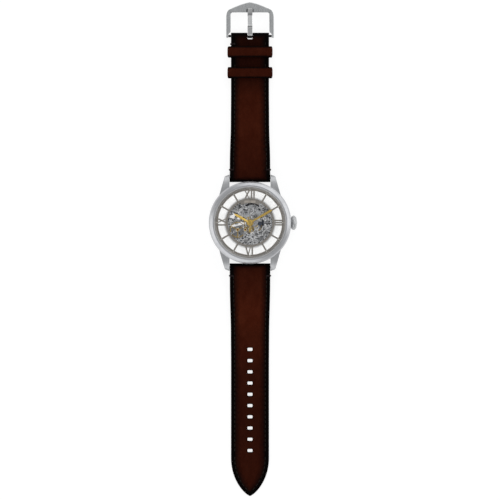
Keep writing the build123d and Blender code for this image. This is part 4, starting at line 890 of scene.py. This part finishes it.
def buckle_outline():
    """Pairs of inner and outer points round the frame, from one arm's end over the bridge to the other's."""
    low, high = low_high("buckle_frame")
    outer_x, arm_end, crest = high[0], low[1], high[1]
    corner, shoulder, corner_share = 1.2, 109.8, 0.30
    arm_steps, corner_steps, bridge_steps = 26, 8, 26
    pairs = []
    for k in range(arm_steps):
        y = arm_end + (BRIDGE_Y - corner - arm_end) * k / arm_steps
        lean = smoothstep((arm_end + 3.7 - y) / 2.2) * 1.3
        pairs.append(((WINDOW_X + lean, y), (outer_x, min(y, shoulder))))
    for k in range(corner_steps + 1):
        a = radians(90 * k / corner_steps)
        inner = (WINDOW_X - corner + corner * cos(a), BRIDGE_Y - corner + corner * sin(a))
        pairs.append((inner, dome_point(outer_x, shoulder, crest, corner_share * k / corner_steps)))
    for k in range(1, bridge_steps + 1):
        share = k / bridge_steps
        t = corner_share + (1 - corner_share) * share
        inner = ((WINDOW_X - corner) * (1 - share), BRIDGE_Y)
        pairs.append((inner, dome_point(outer_x, shoulder, crest, t)))
    mirrored = [((-i[0], i[1]), (-o[0], o[1])) for i, o in reversed(pairs[:-1])]
    return pairs + mirrored


def dome_point(outer_x, shoulder, crest, t):
    """A point of the outer edge, from its shoulder at t 0 to its crest at 1.

    It goes round the shoulder up to the knee, then up a slope that rounds over at the crest.
    """
    knee, knee_x = 0.25, outer_x - 1.6
    knee_y = crest - DOME_BEND * knee_x**DOME_POWER
    if t < knee:
        s = t / knee
        x = outer_x * (1 - s) ** 2 + outer_x * 2 * s * (1 - s) + knee_x * s * s
        y = shoulder * (1 - s) ** 2 + (knee_y - 0.9) * 2 * s * (1 - s) + knee_y * s * s
        return x, y
    x = knee_x * (1 - (t - knee) / (1 - knee))
    return x, crest - DOME_BEND * x**DOME_POWER


def rim_distance(x, y, outer_x, crest):
    """How far a point of the frame is from the nearer of its outer and inner edges."""
    outer = min(outer_x - abs(x), crest - DOME_BEND * abs(x) ** DOME_POWER - y)
    return min(outer, max(abs(x) - WINDOW_X, y - BRIDGE_Y))


def band_section(half_across, half_high, radius, steps=5, flat=8):
    """A rounded rectangle as (across, height) points, its top and bottom divided so that they can bend."""
    points = []
    for quarter, (side, level) in enumerate(((1, 1), (-1, 1), (-1, -1), (1, -1))):
        for k in range(steps + 1):
            a = radians(90 * (quarter + k / steps))
            points.append((side * (half_across - radius) + radius * cos(a),
                           level * (half_high - radius) + radius * sin(a)))
        if side == level:
            for k in range(1, flat):
                points.append((side * (half_across - radius) * (1 - 2 * k / flat), level * half_high))
    return points


def make_buckle():
    """The frame: a flat band with softened edges, arched from front to back, with a rest for the tongue."""
    low, high = low_high("buckle_frame")
    rest_half, rest_y, rest_depth = 1.75, high[1] - 3.6, 0.35
    middle_z, arch_height = 1.95, 0.56
    rings = []
    for inner, outer in buckle_outline():
        half_across = hypot(outer[0] - inner[0], outer[1] - inner[1]) / 2
        middle = ((inner[0] + outer[0]) / 2, (inner[1] + outer[1]) / 2)
        ring = []
        half_high = 1.0 - 0.25 * smoothstep(((middle[1] - low[1]) / (high[1] - low[1]) - 0.75) / 0.25)
        for across, height in band_section(half_across, half_high, 0.3):
            u = across / half_across
            x = middle[0] + (outer[0] - inner[0]) / 2 * u
            y = middle[1] + (outer[1] - inner[1]) / 2 * u
            along = (y - low[1]) / (high[1] - low[1])
            z = middle_z + arch_height * (1 - (2 * along - 0.9) ** 2) + height
            if abs(x) < rest_half and y < rest_y and height > 0:
                z -= rest_depth * smoothstep((rest_half - abs(x)) / 0.3)
            ring.append((x, y, z))
        rings.append(ring)
    obj = piece("buckle_body", skin(rings), "buckle", STEEL_BUCKLE, angle=50)

    # painted shade: a shadow in the tongue's rest, and darker along the frame's edges
    def painted_shade_at(x, y):
        in_rest_shadow = abs(abs(x) - rest_half + 0.15) < 0.25 and BRIDGE_Y < y < rest_y
        rim = rim_distance(x, y, high[0], high[1])
        return 0.3 if in_rest_shadow else 0.8 + 0.2 * smoothstep((rim - 0.25) / 0.2)

    describe(obj, "shade_tone", painted_shade_at)
    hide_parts("buckle_frame")


def make_tongue():
    """The prong: an open roll round its bar, a step down, a raised flat and a tip that bends down."""
    tip = low_high("buckle_tongue")[1][1]
    half_wide = 1.32
    stations = [(BUCKLE_Y + 0.1, BUCKLE_Z + 0.95), (101.3, 3.62), (102.0, 3.68), (104.3, 3.55)]
    stations += [(105.0, 3.38), (105.7, 3.6), (106.2, 3.78), (108.2, 3.9), (110.6, 3.93)]
    stations += [(111.3, 3.84), (112.0, 3.74), (113.4, 3.72), (tip - 0.5, 3.66), (tip, 3.5)]
    fine = []
    for (y0, z0), (y1, z1) in zip(stations, stations[1:]):
        for k in range(4):
            fine.append((y0 + (y1 - y0) * k / 4, z0 + (z1 - z0) * smoothstep(k / 4)))
    fine.append(stations[-1])
    rings = []
    for y, z in fine:
        wide = half_wide - 0.25 * smoothstep((y - tip + 1.2) / 1.2)
        thick = 0.42 if y > BUCKLE_Y + 1 else 0.3
        rings.append([(across, y, z + height - 0.1) for across, height in band_section(wide, thick, 0.22)])
    hook, hook_steps = [], 24
    middle, half_thick = 0.97, 0.23  # the roll's middle radius and half its thickness
    for k in range(hook_steps + 1):
        a = radians(80 - 250 * k / hook_steps)
        ring = []
        for across, height in band_section(half_wide, half_thick, 0.15):
            reach = middle + height
            ring.append((across, BUCKLE_Y + reach * cos(a), BUCKLE_Z + reach * sin(a)))
        hook.append(ring)
    obj = piece("tongue_prong", merge([skin(rings), skin(hook)]), "tongue", STEEL_TONGUE_HIGHLIT, angle=50)
    # painted shade in the roll and the bends; the raised flat keeps its painted highlight at full strength
    shade_tones = [(99.4, 0.2), (100.2, 0.7), (100.6, 0.8), (101.0, 0.4), (101.7, 0.66), (104.2, 0.66)]
    shade_tones += [(105.0, 0.3), (105.8, 1.0), (110.5, 1.0), (111.6, 0.35), (112.6, 0.62)]
    shade_tones += [(tip - 0.8, 0.66), (tip, 0.4)]
    describe(obj, "shade_tone", lambda x, y: between(shade_tones, y))
    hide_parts("buckle_tongue")


# ---------------- hands and dial
def hand_blade(length, width, root, low, ridge, angle):
    """A baton with a ridge along its middle and a pointed end, turned to its angle."""
    marks = [(0, root * 0.5), (length * 0.12, width * 0.3), (length * 0.3, width * 0.36)]
    marks += [(length * 0.62, width * 0.5), (length - width, width * 0.44), (length, 0.06)]
    turn = Matrix.Rotation(radians(angle), 3, "Z")
    rings = []
    for along, half in marks:
        top = low + (ridge - low) * (1 if along < length else 0.5)
        ring = [(along, -half, low), (along, -half, low + 0.04), (along, 0, top), (along, half, low + 0.04),
                (along, half, low)]
        rings.append([tuple(turn @ Vector(p)) for p in ring])
    return skin(rings)


def make_hand(node, body, length, width, root, ridge, angle, hub):
    """A gilt hand: a ridged blade, and a hub turned from (radius, height) points."""
    low, high = low_high(node)
    blade = hand_blade(length, width, root, low[2], high[2] + ridge, angle)
    hub = lathe([(radius, low[2] + height) for radius, height in hub])
    obj = piece(node + "_gold", merge([blade, hub]), body, GOLD, angle=20)
    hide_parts(node)


def make_hands():
    """The hour and minute hands, each with its own hub."""
    hub = [(0.95, 0), (1.35, 0), (1.4, 0.1), (1.28, 0.2), (1.0, 0.22), (0.95, 0.18), (0.95, 0)]
    make_hand("hour_hand", "hour", 9.7, 1.35, 1.3, 0.05, HOUR_ANGLE, hub)
    hub = [(0.51, 0), (0.98, 0), (1.02, 0.09), (0.9, 0.18), (0.6, 0.2), (0.51, 0.16), (0.51, 0)]
    make_hand("minute_hand", "minute", 13.8, 1.3, 0.95, 0.04, MINUTE_ANGLE, hub)


def make_jewel_settings():
    """Gilt rings round the jewels of the main plate."""
    low = low_high("jewels")[1][2] + 0.005
    ring = [(0.5, 0), (0.86, 0), (0.86, 0.04), (0.78, 0.07), (0.54, 0.07), (0.5, 0)]
    profile = [(radius, low + height) for radius, height in ring]
    for joint in ("third_spin", "escape_spin", "pallet_rock", "balance_swing"):
        name = joint.split("_")[0] + "_jewel_setting"
        obj = piece(name, lathe(profile, joint_place(joint)[:2], 32), "case", SETTING_GILT, angle=20)


def make_minute_track():
    """Sixty printed strokes on the slope of the flange, longer and thicker at each hour."""
    foot_radius, foot_rise, slope, lift = 18.0, 0.12, 1.53, 0.03
    inner = 18.12
    strokes = []
    for minute in range(60):
        angle = radians(6 * minute)
        half, outer = (0.13, 18.75) if minute % 5 == 0 else (0.08, 18.5)
        points = []
        for radius in (inner, outer):
            z = DIAL_TOP + foot_rise + (radius - foot_radius) * slope + lift
            for side in (-1, 1):
                x = radius * cos(angle) - side * half * sin(angle)
                y = radius * sin(angle) + side * half * cos(angle)
                points.append((x, y, z))
        strokes.append((points, [(0, 1, 3, 2)]))
    obj = piece("minute_track", merge(strokes), "case", TRACK, smooth=False)


# ---------------- studio
def soft_box(name, azimuth, elevation, size, luminance, distance=0.9):
    """A soft light of a given brightness, aimed at the watch from a compass direction."""
    lamp = bpy.data.lights.new(name, "AREA")
    lamp.shape, lamp.size, lamp.size_y = "RECTANGLE", size[0], size[1]
    lamp.energy = pi * size[0] * size[1] * luminance
    a, e = radians(azimuth), radians(elevation)
    place = Vector((cos(a) * cos(e), sin(a) * cos(e), sin(e))) * distance
    obj = bpy.data.objects.new(name, lamp)
    obj.location = place
    obj.rotation_euler = (-place).to_track_quat("-Z", "Y").to_euler()
    bpy.context.collection.objects.link(obj)


def make_studio():
    """Pale light table, soft lights and a long lens straight above the watch."""
    floor = bpy.data.meshes.new("table")
    side, low = 3.0, CAD_BOX[0][2] - 0.0002
    floor.from_pydata([(-side, -side, low), (side, -side, low), (side, side, low), (-side, side, low)], [],
                      [(0, 1, 2, 3)])
    floor.materials.append(table_top())
    table = bpy.data.objects.new("table", floor)
    bpy.context.collection.objects.link(table)
    world = bpy.data.worlds.new("studio")
    world.use_nodes = True
    background = world.node_tree.nodes["Background"]
    background.inputs[0].default_value = (0.98, 0.99, 1.0, 1)
    background.inputs[1].default_value = 0.52
    bpy.context.scene.world = world
    wide, square = (1.2, 0.8), (0.7, 0.7)
    soft_box("key", 70, 27, wide, 0.95)
    soft_box("back", 250, 27, wide, 0.85)
    soft_box("side", 10, 25, square, 1.15)
    soft_box("far_side", 190, 25, square, 1.1)
    camera = bpy.data.cameras.new("camera")
    camera.lens, camera.sensor_width, camera.clip_end = 200, 36, 10
    view_width, view_middle_y = 0.2685, -0.0146
    obj = bpy.data.objects.new("camera", camera)
    obj.location = (0, view_middle_y, view_width * camera.lens / camera.sensor_width)
    bpy.context.collection.objects.link(obj)
    bpy.context.scene.camera = obj
    bpy.context.scene.view_settings.view_transform = "Standard"


make_studio()
paint_nodes()
make_straps()
keeper_loop("keeper_fixed", "fixed_keeper", "strap_12")
keeper_loop("keeper_sliding", "sliding_keeper", "sliding_keeper")
make_buckle()
make_tongue()
make_hands()
make_jewel_settings()
make_minute_track()
